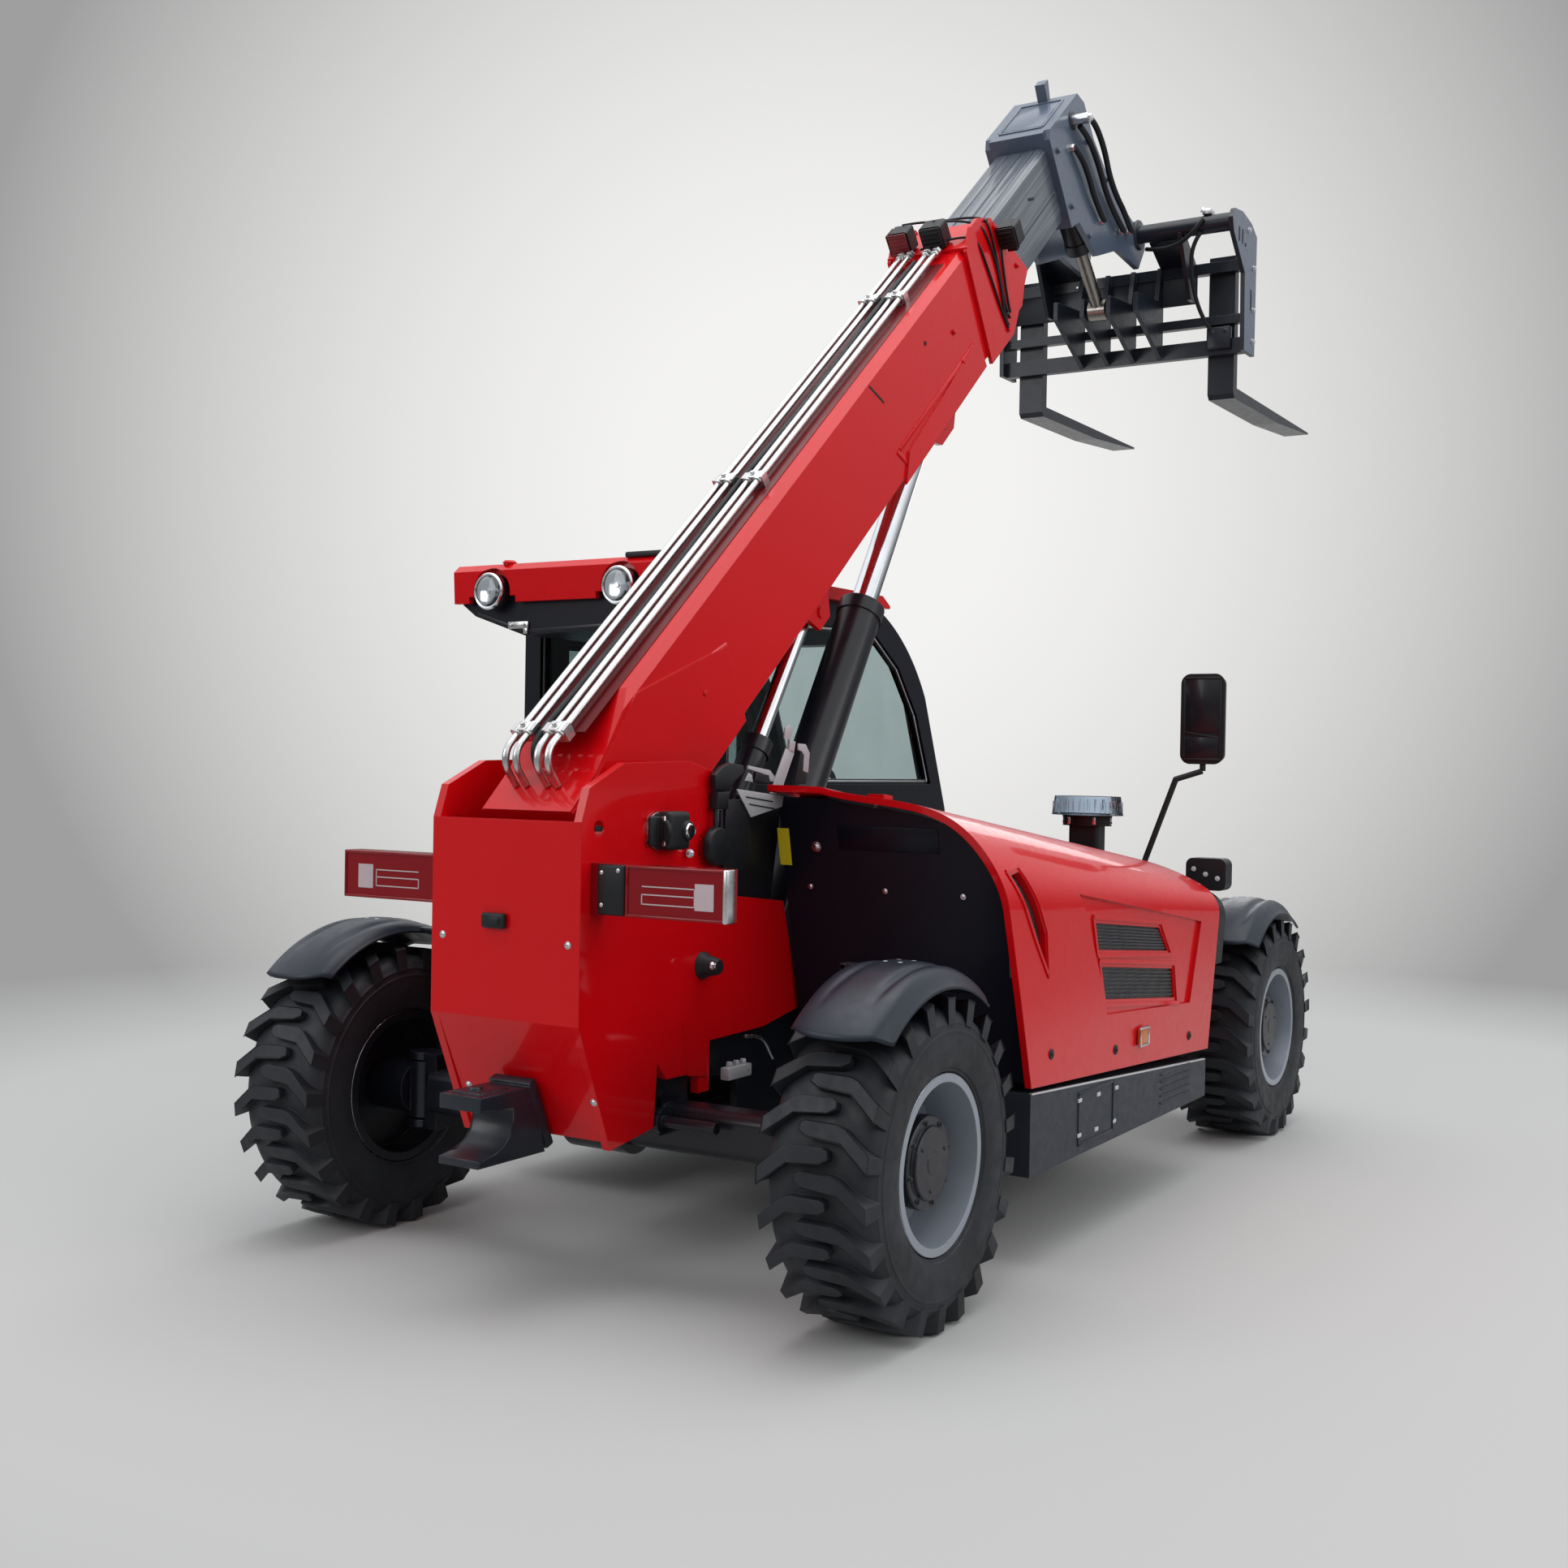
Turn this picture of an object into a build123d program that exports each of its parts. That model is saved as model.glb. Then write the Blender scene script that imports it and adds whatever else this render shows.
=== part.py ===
from build123d import *
from math import atan2, cos, degrees, radians, sin
import os

os.makedirs("parts", exist_ok=True)

# Compact telehandler: tail-mounted boom in the middle, cab on the left, engine on the right.
# Millimetres, X forward, Y left, Z up. Side outlines are drawn from the middle of the wheelbase,
# which lies mid_x from the origin, and the ground is Z = 0.

# Driving dimensions of the machine
mid_x = -775
wheelbase = 2920
track_half = 908
axle_z = 422.5
rear_x = -wheelbase / 2
front_x = wheelbase / 2

# Driving dimensions of the wheels
tyre_radius = 422.5
tyre_half_width = 153.5
rim_half_width = 137
flange_radius = 228
rim_radius = 214.5
bead_radius = 215
kingpin_y = 700
lug_count = 22
lug_depth = 24
lug_reach = 54

# Driving dimensions of the boom
pivot_x = -1600
pivot_z = 1235
boom_angle = 40.5
outer_half = 150
outer_low = -140
outer_high = 280
inner_half = 112
inner_low = -84
inner_high = 238
boom_gap = 12
collar_x = 2800
tip_x = 3275
inner_rear = 1020
nose_x = 3870

# Cylinder pins: feet on the chassis, heads on the boom in the boom's own frame
lift_foot = (-900, 592)
lift_head = (2450, -185)
comp_foot = (-1150, 820)
comp_head = (1330, -235)
tilt_foot = (4145, 232)
tilt_head = (4269, -678)
head_pivot = (4570, -480)
shaft_radius = 40
nose_pin_radius = 22

# Widths across the middle of the machine
channel_half = 105
beam_out = 225
cheek_out = 250
skirt_out = 1020

boom_cos = cos(radians(boom_angle))
boom_sin = sin(radians(boom_angle))


def side_plane(y=0.0):
    """Upright plane along the machine: local X forward, local Y up, normal to the right."""
    return Plane(origin=(mid_x, y, 0), x_dir=(1, 0, 0), z_dir=(0, -1, 0))


def cross_plane(x=0.0):
    """Upright plane across the machine: local X to the left, local Y up, normal forward."""
    return Plane(origin=(mid_x + x, 0, 0), x_dir=(0, 1, 0), z_dir=(1, 0, 0))


def level_plane(z=0.0):
    """Level plane: local X forward from the middle of the wheelbase, local Y to the left."""
    return Plane(origin=(mid_x, 0, z))


def on_boom(along, above):
    """A boom point, measured from the lift pivot, as X and Z of the side planes."""
    x = pivot_x + along * boom_cos - above * boom_sin
    z = pivot_z + along * boom_sin + above * boom_cos
    return (x, z)


def boom_plane(y=0.0):
    """Upright plane along the boom: local X along it from the lift pivot, local Y up from it."""
    return Plane(
        origin=(mid_x + pivot_x, y, pivot_z),
        x_dir=(boom_cos, 0, boom_sin),
        z_dir=(0, -1, 0),
    )


def boom_section(along):
    """Plane square to the boom: local X to the left, local Y up from the boom."""
    x, z = on_boom(along, 0)
    return Plane(origin=(mid_x + x, 0, z), x_dir=(0, 1, 0), z_dir=(boom_cos, 0, boom_sin))


def strut_plane(foot, head):
    """Plane square to a cylinder at its foot pin, with its normal towards the head pin."""
    run = (head[0] - foot[0], head[1] - foot[1])
    return Plane(
        origin=(mid_x + foot[0], 0, foot[1]),
        x_dir=(0, 1, 0),
        z_dir=(run[0], 0, run[1]),
    )


def span(foot, head):
    """Distance between two pins."""
    return ((head[0] - foot[0]) ** 2 + (head[1] - foot[1]) ** 2) ** 0.5


def save(piece, label):
    """Name a finished piece and write it."""
    piece.part.label = label
    export_step(piece.part, "parts/" + label + ".step")


def plate(points, y, thickness):
    """Add a flat plate with the given side outline, from y to y + thickness."""
    with BuildSketch(side_plane(y + thickness)) as outline:
        with BuildLine():
            Polyline(*points, close=True)
        make_face()
    extrude(outline.sketch, amount=thickness)


def block(x0, x1, y0, y1, z0, z1, mode=Mode.ADD):
    """Add or cut a square block between the given limits."""
    with BuildSketch(level_plane(z0)) as outline:
        with Locations(((x0 + x1) / 2, (y0 + y1) / 2)):
            Rectangle(x1 - x0, y1 - y0)
    extrude(outline.sketch, amount=z1 - z0, mode=mode)


def cross_bar(x, z, radius, y0, y1, mode=Mode.ADD):
    """Add or cut a round bar across the machine from y0 to y1."""
    with BuildSketch(side_plane(y1)) as outline:
        with Locations((x, z)):
            Circle(radius)
    extrude(outline.sketch, amount=y1 - y0, mode=mode)


# Wheels
def wheel_plane(x, side):
    """Plane through a wheel's axis: local X outward along the axle, local Y up."""
    return Plane(
        origin=(mid_x + x, side * track_half, axle_z),
        x_dir=(0, side, 0),
        z_dir=(side, 0, 0),
    )


def lug_outline(hand):
    """One lug seen from above the tread: a broad shoulder foot, then a bar that leans to the middle."""
    foot = hand * (tyre_half_width - 1)
    bend = hand * 84
    tip = -hand * 14
    half = lug_reach
    return (
        (foot, -half), (foot, 0), (bend + hand * 8, 0), (bend - hand * 16, 16), (tip, half),
        (tip, half - 32), (bend - hand * 16, 26 - half), (bend + hand * 4, -half),
    )


def make_tyre():
    """A left-hand tyre about its own centre: a carcass with two staggered rows of chevron lugs."""
    groove = tyre_radius - lug_depth
    lug_top = (tyre_radius ** 2 - lug_reach ** 2) ** 0.5
    with BuildPart() as tyre:
        with BuildSketch(Plane.YZ):
            with BuildLine():
                Polyline(
                    (-128, bead_radius),
                    (-128, 232),
                    (-149, 262),
                    (2 - tyre_half_width, 340),
                    (-118, groove),
                    (118, groove),
                    (tyre_half_width - 2, 340),
                    (149, 262),
                    (128, 232),
                    (128, bead_radius),
                    close=True,
                )
            make_face()
        revolve(axis=Axis.Y)
        for hand, turn in ((1, 0), (-1, 180 / lug_count)):
            with BuildPart(mode=Mode.PRIVATE) as lug:
                with BuildSketch(Plane(origin=(0, 0, lug_top), x_dir=(0, 1, 0), z_dir=(0, 0, 1))):
                    with BuildLine():
                        Polyline(*lug_outline(hand), close=True)
                    make_face()
                extrude(amount=-(lug_depth + 24))
            for step in range(lug_count):
                add(lug.part.rotate(Axis.Y, turn + step * 360 / lug_count))
    return tyre.part


def place_tyre(tyre, x, side, label):
    """Set a tyre on its axle, with its chevrons the same way up on both sides."""
    with BuildPart() as placed:
        add(tyre if side > 0 else tyre.mirror(Plane.XZ))
    placed.part = placed.part.moved(Location((mid_x + x, side * track_half, axle_z)))
    save(placed, label)


def make_rim(x, side, label):
    with BuildPart() as rim:
        with BuildSketch(wheel_plane(x, side)):
            with BuildLine():
                Polyline(
                    (-45, 0),
                    (-45, 196),
                    (-rim_half_width, 204),
                    (-rim_half_width, flange_radius),
                    (-130, flange_radius),
                    (-130, rim_radius),
                    (130, rim_radius),
                    (130, flange_radius),
                    (rim_half_width, flange_radius),
                    (rim_half_width, 206),
                    (60, 196),
                    (-28, 190),
                    (-30, 90),
                    (-14, 80),
                    (-14, 0),
                    close=True,
                )
            make_face()
        revolve(axis=Axis((mid_x + x, 0, axle_z), (0, 1, 0)))
    save(rim, label)


def make_knuckle(x, side, label):
    hub_out = track_half - 53
    with BuildPart() as knuckle:
        with BuildSketch(level_plane(axle_z - 84)):
            with Locations((x, side * kingpin_y)):
                Circle(42)
        extrude(amount=168)
        with BuildSketch(side_plane(side * (kingpin_y + 20))):
            with Locations((x, axle_z)):
                Circle(78)
        extrude(amount=-side * (hub_out - kingpin_y - 20))
    save(knuckle, label)


def make_fender(x, side, label):
    """A crowned shell with a turned-down lip over the tyre, on a stay from the back of the knuckle."""
    first = 52
    spread = 84
    stay_back = 88
    outer = (
        (-128, 470), (-120, 488), (-66, 494), (-56, 502), (58, 502), (70, 492), (122, 484), (150, 456),
    )
    thickness = 7
    inner = tuple((u, v - thickness) for u, v in outer)
    axle = Axis((mid_x + x, 0, axle_z), (0, 1, 0))
    start = Plane(
        origin=(mid_x + x, side * track_half, axle_z),
        x_dir=(0, side, 0),
        z_dir=(side * sin(radians(first)), 0, -side * cos(radians(first))),
    )
    with BuildPart() as fender:
        with BuildSketch(start):
            with BuildLine():
                Polyline(*outer, *reversed(inner), close=True)
            make_face()
        revolve(axis=axle, revolution_arc=-spread)
        with BuildSketch(side_plane(side * (kingpin_y + 2))):
            with Locations((x + stay_back, axle_z + 232)):
                Rectangle(44, 484)
        extrude(amount=-side * 18)
        with BuildSketch(side_plane(side * (kingpin_y + 2))):
            with Locations((x + stay_back, axle_z + 466)):
                Rectangle(44, 20)
        extrude(amount=-side * 150)
    save(fender, label)


wheel_spots = (
    ("front_left", front_x, 1),
    ("front_right", front_x, -1),
    ("rear_left", rear_x, 1),
    ("rear_right", rear_x, -1),
)
master_tyre = make_tyre()
for spot, x, side in wheel_spots:
    place_tyre(master_tyre, x, side, "tyre_" + spot)
    make_rim(x, side, "rim_" + spot)
    make_knuckle(x, side, "knuckle_" + spot)
    make_fender(x, side, "fender_" + spot)


# Axles
def make_axle(x, label):
    """A beam with a round centre housing and an open yoke for each kingpin."""
    with BuildPart() as axle:
        with BuildSketch(side_plane(kingpin_y - 70)):
            with Locations((x, axle_z)):
                RectangleRounded(120, 130, 30)
        extrude(amount=2 * (kingpin_y - 70))
        cross_bar(x, axle_z, 96, -100, 100)
        ram_x = x - 96
        cross_bar(ram_x, axle_z + 30, 34, -260, 260)
        cross_bar(ram_x, axle_z + 30, 16, -430, 430)
        for y in (-250, 210):
            block(ram_x - 10, x - 50, y, y + 40, axle_z - 10, axle_z + 50)
        block(x - 60, x + 60, -beam_out, beam_out, axle_z + 20, 530)
        for side in (1, -1):
            for ear_z in (axle_z - 112, axle_z + 90):
                with BuildSketch(level_plane(ear_z)):
                    with Locations((x, side * kingpin_y)):
                        Circle(46)
                    with Locations((x, side * (kingpin_y - 45))):
                        Rectangle(72, 90)
                extrude(amount=22)
            block(x - 46, x + 46, side * (kingpin_y - 68) - 22, side * (kingpin_y - 68) + 22,
                  axle_z - 112, axle_z + 112)
    save(axle, label)


make_axle(front_x, "front_axle")
make_axle(rear_x, "rear_axle")

# Chassis frame: two deep beams with an open channel between them for the cylinders
with BuildPart() as chassis_frame:
    beam = (
        (-1790, 530), (-1790, 640), (-1700, 730), (1120, 730),
        (1300, 700), (1760, 690), (1760, 560), (1700, 530),
    )
    plate(beam, channel_half, beam_out - channel_half)
    plate(beam, -beam_out, beam_out - channel_half)
    block(1640, 1740, -channel_half, channel_half, 540, 680)
    block(-1780, -1730, -channel_half, channel_half, 540, 640)
    block(-1150, 1180, -beam_out, beam_out, 300, 316)
    block(-1150, 1180, -beam_out, 20 - beam_out, 316, 530)
    block(-1150, 1180, beam_out - 20, beam_out, 316, 530)
    block(-1210, -1090, 60, channel_half, 640, 870)
    block(-1210, -1090, -channel_half, -60, 640, 870)
    block(-740, 700, -beam_out, 15 - beam_out, 730, 1040)
save(chassis_frame, "chassis_frame")

# Hinge pin of the bonnet on its two posts
hinge_y = -240
hinge_z = 1295
with BuildPart() as bonnet_hinge:
    with BuildSketch(cross_plane(-985)):
        with Locations((hinge_y, hinge_z)):
            Circle(8)
    extrude(amount=660)
    for x in (-760, -340):
        block(x, x + 14, -beam_out, 15 - beam_out, 1040, hinge_z + 6)
        block(x, x + 14, hinge_y - 6, -beam_out, hinge_z - 12, hinge_z + 12)
save(bonnet_hinge, "bonnet_hinge")

# Tail box: two cheeks that carry the boom, a rear plate and its sloping foot
tail_outline = (
    (-1920, 745), (-1920, 1264), (-1890, 1350), (-1744, 1415), (-1449, 1423), (-1337, 1396),
    (-1330, 1290), (-1214, 1040), (-949, 1011), (-845, 684), (-1051, 647), (-1360, 640),
    (-1385, 560), (-1535, 560), (-1578, 611), (-1592, 439), (-1780, 410),
)
with BuildPart() as tail_box:
    plate(tail_outline, beam_out, cheek_out - beam_out)
    plate(tail_outline, -cheek_out, cheek_out - beam_out)
    plate(((-1920, 745), (-1920, 1264), (-1896, 1264), (-1896, 745)), -beam_out, 2 * beam_out)
    plate(((-1920, 745), (-1896, 745), (-1756, 430), (-1780, 430)), -beam_out, 2 * beam_out)
    for side in (1, -1):
        with BuildSketch(side_plane(side * beam_out)):
            with Locations((pivot_x, pivot_z)):
                Circle(95)
        extrude(amount=side * 60)
    cross_bar(pivot_x, pivot_z, 51, -cheek_out, cheek_out, Mode.SUBTRACT)
    cross_bar(-1850, 1247, 20, -cheek_out, cheek_out, Mode.SUBTRACT)
    for y in (beam_out, -cheek_out):
        plate(((-1385, 640), (-1385, 500), (-1330, 500), (-1330, 640)), y, cheek_out - beam_out)
save(tail_box, "tail_box")

# Dark fittings on the tail: pivot caps, stop cones and the rear socket
with BuildPart() as tail_fittings:
    for side in (1, -1):
        with BuildSketch(side_plane(side * (cheek_out + 8))):
            with Locations((pivot_x, pivot_z)):
                RectangleRounded(130, 96, 40)
        extrude(amount=-side * 50)
        with BuildSketch(side_plane(side * cheek_out)):
            with Locations((-1370, 855)):
                Circle(36)
        extrude(amount=-side * 62, taper=14)
    with BuildSketch(cross_plane(-1920)):
        with Locations((-20, 880)):
            RectangleRounded(76, 40, 12)
    extrude(amount=-24)
save(tail_fittings, "tail_fittings")

# Boom pivot pin, held in the cheeks
with BuildPart() as pivot_pin:
    cross_bar(pivot_x, pivot_z, 50, -cheek_out - 8, cheek_out + 8)
save(pivot_pin, "pivot_pin")

# Outer boom: a hollow box with a collar whose mouth slants forward at its foot
outer_side = (
    (-150, -60), (-150, 196), (0, 206), (262, outer_high), (3107, outer_high), (tip_x, -66),
    (3180, outer_low), (60, outer_low),
)
collar_side = (
    (collar_x, -150), (3043, -156), (tip_x + 35, -20), (3115, 285), (3010, 334), (2940, 334), (collar_x + 50, 280),
)
base_side = ((-150, -60), (-150, 190), (0, 200), (262, 262), (560, 150), (700, 95), (640, -138), (60, -138))
edge_side = ((1940, -138), (2030, -62), (2730, -20), (2760, -60), (2760, -138))
with BuildPart() as boom_outer:
    with BuildSketch(boom_plane(outer_half)):
        with BuildLine():
            Polyline(*outer_side, close=True)
        make_face()
    extrude(amount=2 * outer_half)
    chamfer(
        boom_outer.edges().filter_by(Axis((0, 0, 0), (boom_cos, 0, boom_sin))),
        length=20,
    )
    with BuildSketch(boom_section(collar_x + 60)):
        with Locations((0, outer_high + 4)):
            Rectangle(2 * outer_half + 28, 16)
        with Locations((0, outer_low - 4)):
            Rectangle(2 * outer_half + 28, 16)
    extrude(amount=110)
    for side in (1, -1):
        for outline, thickness in ((collar_side, 14), (base_side, 6), (edge_side, 8)):
            with BuildSketch(boom_plane(side * outer_half)):
                with BuildLine():
                    Polyline(*outline, close=True)
                make_face()
            extrude(amount=-side * thickness)
    with BuildSketch(boom_section(260)):
        with Locations((0, (inner_low + inner_high) / 2)):
            Rectangle(2 * (inner_half + boom_gap), inner_high - inner_low + 2 * boom_gap)
    extrude(amount=tip_x, mode=Mode.SUBTRACT)
    with BuildSketch(boom_plane(60)):
        with Locations((lift_head[0], outer_low)):
            Rectangle(180, 90)
    extrude(amount=120, mode=Mode.SUBTRACT)
    for side in (1, -1):
        with BuildSketch(boom_plane(side * 62)):
            with BuildLine():
                Polyline(
                    (lift_head[0] - 190, outer_low + 2),
                    (lift_head[0] - 60, lift_head[1] - 62),
                    (lift_head[0] + 60, lift_head[1] - 62),
                    (lift_head[0] + 190, outer_low + 2),
                    close=True,
                )
            make_face()
        extrude(amount=-side * 22)
        with BuildSketch(boom_plane(side * 42)):
            with BuildLine():
                Polyline(
                    (comp_head[0] - 120, outer_low + 2),
                    (comp_head[0] - 40, comp_head[1] - 45),
                    (comp_head[0] + 40, comp_head[1] - 45),
                    (comp_head[0] + 120, outer_low + 2),
                    close=True,
                )
            make_face()
        extrude(amount=-side * 18)
    with BuildSketch(boom_plane(outer_half + 20)):
        Circle(51)
    extrude(amount=2 * outer_half + 40, mode=Mode.SUBTRACT)
    with BuildSketch(boom_plane(90)):
        with Locations(lift_head):
            Circle(28)
    extrude(amount=180)
    with BuildSketch(boom_plane(66)):
        with Locations(comp_head):
            Circle(20)
    extrude(amount=132)
save(boom_outer, "boom_outer")

# Hose pipes along the top of the outer boom, turned down at the tail, with their clamps
pipe_high = outer_high + 26
pipe_tail = -62
with BuildPart() as hose_pipes:
    for y in (86, 50, -22, -58):
        with BuildLine(boom_plane(y)):
            FilletPolyline((pipe_tail, 206), (pipe_tail, pipe_high), (2840, pipe_high), radius=56)
        with BuildSketch(Plane(origin=boom_plane(y).from_local_coords((pipe_tail, 206, 0)),
                               z_dir=(-boom_sin, 0, boom_cos))):
            Circle(10)
        sweep()
    for along in (30, 1270, 2460):
        for y in (68, -40):
            with BuildSketch(boom_section(along)):
                with Locations((y, outer_high + 20)):
                    Rectangle(76, 40)
            extrude(amount=34)
save(hose_pipes, "hose_pipes")

# Work lamps around the collar of the boom
with BuildPart() as boom_lamps:
    for y, along, above, wide in ((98, 2866, 293, 80), (-32, 2872, 293, 90), (-205, 3120, 150, 80)):
        with BuildSketch(boom_section(along)):
            with Locations((y, above + 46)):
                RectangleRounded(wide, 88, 12)
        extrude(amount=64)
save(boom_lamps, "boom_lamps")

# Inner boom: a hollow box open at its rear
with BuildPart() as boom_inner:
    with BuildSketch(boom_section(inner_rear)):
        with Locations((0, (inner_low + inner_high) / 2)):
            Rectangle(2 * inner_half, inner_high - inner_low)
    extrude(amount=nose_x - inner_rear)
    chamfer(
        boom_inner.edges().filter_by(Axis((0, 0, 0), (boom_cos, 0, boom_sin))),
        length=14,
    )
    with BuildSketch(boom_section(inner_rear)):
        with Locations((0, (inner_low + inner_high) / 2)):
            Rectangle(2 * inner_half - 24, inner_high - inner_low - 24)
    extrude(amount=nose_x - inner_rear - 40, mode=Mode.SUBTRACT)
save(boom_inner, "boom_inner")

# Boom head: two cheeks that drop from the nose to the carriage shaft, closed on top
head_side = (
    (nose_x, -110), (nose_x, 270), (3900, 300), (4260, 300), (4310, 240), (4320, 80), (4400, -190),
    (4540, -400), (4640, -450), (4655, -520), (4600, -570), (4480, -600), (4300, -420), (4060, -330),
    (3960, -130),
)
with BuildPart() as boom_head:
    for side in (1, -1):
        with BuildSketch(boom_plane(side * 118)):
            with BuildLine():
                Polyline(*head_side, close=True)
            make_face()
        extrude(amount=-side * 24)
    with BuildSketch(boom_plane(118)):
        with BuildLine():
            Polyline((nose_x, 286), (nose_x, 300), (4260, 300), (4260, 286), close=True)
        make_face()
        with BuildLine():
            Polyline((4284, 90), (4284, 262), (4300, 250), (4318, 90), close=True)
        make_face()
        with BuildLine():
            Polyline((nose_x, -110), (nose_x, 286), (nose_x + 24, 286), (nose_x + 24, -110), close=True)
        make_face()
    extrude(amount=236)
    with BuildSketch(boom_plane(22)):
        with BuildLine():
            Polyline((4226, 299), (4236, 372), (4284, 372), (4256, 299), close=True)
        make_face()
    extrude(amount=44)
    with BuildSketch(boom_plane(142)):
        with Locations(head_pivot):
            Circle(shaft_radius + 1)
        with Locations(tilt_foot):
            Circle(nose_pin_radius + 0.2)
    extrude(amount=284, mode=Mode.SUBTRACT)
save(boom_head, "boom_head")

with BuildPart() as nose_pin:
    with BuildSketch(boom_plane(146)):
        with Locations(tilt_foot):
            Circle(nose_pin_radius)
    extrude(amount=362)
save(nose_pin, "nose_pin")


# Cylinders
def make_barrel(foot, head, radius, bore, start, end, eye_radius, eye_half, pin_radius, label):
    """A barrel with an eye at its foot pin and a blind bore from its mouth."""
    with BuildPart() as barrel:
        with BuildSketch(strut_plane(foot, head).offset(start)):
            Circle(radius)
        extrude(amount=end - start)
        with BuildSketch(side_plane(eye_half)):
            with Locations(foot):
                Circle(eye_radius)
        extrude(amount=2 * eye_half)
        with BuildSketch(strut_plane(foot, head)):
            Rectangle(2 * eye_half, 1.5 * eye_radius)
        extrude(amount=start)
        with BuildSketch(strut_plane(foot, head).offset(start + 8)):
            Circle(bore)
        extrude(amount=end - start, mode=Mode.SUBTRACT)
        cross_bar(foot[0], foot[1], pin_radius, -eye_half, eye_half, Mode.SUBTRACT)
        with BuildSketch(strut_plane(foot, head).offset(end - 50)):
            Circle(radius + 5)
            Circle(bore, mode=Mode.SUBTRACT)
        extrude(amount=50)
    save(barrel, label)


def make_rod(foot, head, radius, length, eye_radius, eye_half, pin_radius, label):
    """A rod that ends in an eye at its head pin."""
    with BuildPart() as rod:
        with BuildSketch(strut_plane(foot, head).offset(span(foot, head) - length)):
            Circle(radius)
        extrude(amount=length)
        with BuildSketch(side_plane(eye_half)):
            with Locations(head):
                Circle(eye_radius)
        extrude(amount=2 * eye_half)
        cross_bar(head[0], head[1], pin_radius, -eye_half, eye_half, Mode.SUBTRACT)
    save(rod, label)


lift_top = on_boom(*lift_head)
comp_top = on_boom(*comp_head)
tilt_top = on_boom(*tilt_foot)
tilt_bottom = on_boom(*tilt_head)
make_barrel(lift_foot, lift_top, 76, 46.5, 80, 1620, 60, 55, 28, "lift_barrel")
make_rod(lift_foot, lift_top, 45, 1700, 58, 50, 28.1, "lift_rod")
make_barrel(comp_foot, comp_top, 46, 28.5, 55, 800, 44, 40, 20, "comp_barrel")
make_rod(comp_foot, comp_top, 27, 830, 42, 34, 20.1, "comp_rod")
make_barrel(tilt_top, tilt_bottom, 55, 31.5, 55, 600, 45, 50, 22.1, "tilt_barrel")
make_rod(tilt_top, tilt_bottom, 30, 640, 45, 40, 20, "tilt_rod")

# Fork carriage
shaft_x, shaft_z = on_boom(*head_pivot)
eye_x, eye_z = tilt_bottom
carriage_half = 595
bar_back = 2360
bar_front = 2400
fork_top = 3160
fork_inset = 130
with BuildPart() as carriage:
    cross_bar(shaft_x, shaft_z, shaft_radius, -carriage_half, carriage_half)
    for y in (-carriage_half, carriage_half - 20):
        plate(
            (
                (bar_front + 72, 3300), (bar_front + 80, 3840), (bar_front, 3880), (shaft_x + 80, 3900),
                (shaft_x - 30, 3885), (shaft_x - 62, 3840), (shaft_x - 40, 3780), (bar_back - 50, 3640),
                (bar_back - 40, 3300),
            ),
            y,
            20,
        )
    block(bar_back, bar_front, -carriage_half, carriage_half, 3300, 3370)
    block(bar_back, bar_front, -carriage_half, carriage_half, 3436, 3476)
    block(bar_back, bar_front, -carriage_half, carriage_half, 3670, 3720)
    for side in (1, -1):
        for y in (side * 62 - 10, side * 190 - 10):
            plate(
                (
                    (bar_back + 10, 3300), (bar_back + 10, 3720), (bar_back - 20, 3720),
                    (bar_back - 60, 3560), (eye_x - 50, 3540), (eye_x - 52, 3460), (eye_x, 3436),
                ),
                y,
                20,
            )
save(carriage, "carriage")


def make_fork(side, label):
    heel_x = 2450
    fork_y = side * (carriage_half - fork_inset)
    with BuildPart() as fork:
        plate(
            (
                (bar_front, 3130), (bar_front, 3750), (heel_x, 3750), (heel_x, fork_top),
                (3640, fork_top), (3640, fork_top - 9), (3100, 3116), (heel_x, 3110), (bar_front + 20, 3110),
            ),
            fork_y - 60,
            120,
        )
    save(fork, label)


make_fork(1, "fork_left")
make_fork(-1, "fork_right")

# Engine and its bay on the right
with BuildPart() as engine_block:
    block(-700, 560, -860, -330, 520, 1000)
save(engine_block, "engine_block")

with BuildPart() as side_skirt:
    plate(((-860, 270), (-860, 505), (670, 400), (670, 270)), -skirt_out, 620)
save(side_skirt, "side_skirt")

with BuildPart() as left_tank:
    plate(((-820, 270), (-820, 700), (560, 700), (560, 270)), 400, 580)
save(left_tank, "left_tank")


def hood_section(x, points):
    """One cross section of the bonnet: flat top, rolled shoulder, flat side."""
    with BuildSketch(cross_plane(x)) as section:
        with BuildLine():
            Line(points[0], points[1])
            Spline(*points[1:6])
            Polyline(points[5], points[6], points[7], points[0])
        make_face()
    return section.sketch


hood_rear = (
    (-262, 1362), (-440, 1360), (-700, 1325), (-870, 1270), (-967, 1155), (-1000, 1040), (-1030, 500),
)
hood_front = (
    (-262, 1152), (-440, 1133), (-740, 1092), (-920, 1035), (-1012, 975), (-1034, 890), (-1000, 400),
)


def shrink(points, wall):
    """The same section one wall further in."""
    low = points[6]
    return (
        (points[0][0], points[0][1] - wall),
        (points[1][0], points[1][1] - wall),
        (points[2][0] + wall / 7, points[2][1] - wall),
        (points[3][0] + wall / 2, points[3][1] - wall),
        (points[4][0] + wall, points[4][1] - wall / 2),
        (points[5][0] + wall, points[5][1]),
        (low[0] + wall, low[1]),
        (points[0][0], low[1]),
    )


def hood_body(inset, x0=-1100.0, x1=750.0):
    """The solid form under the bonnet's skin, taken in by the given wall."""
    with BuildPart(mode=Mode.PRIVATE) as body:
        loft(
            [hood_section(x0, shrink(hood_rear, inset)), hood_section(x1, shrink(hood_front, inset))],
            ruled=True,
        )
    return body.part


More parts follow.
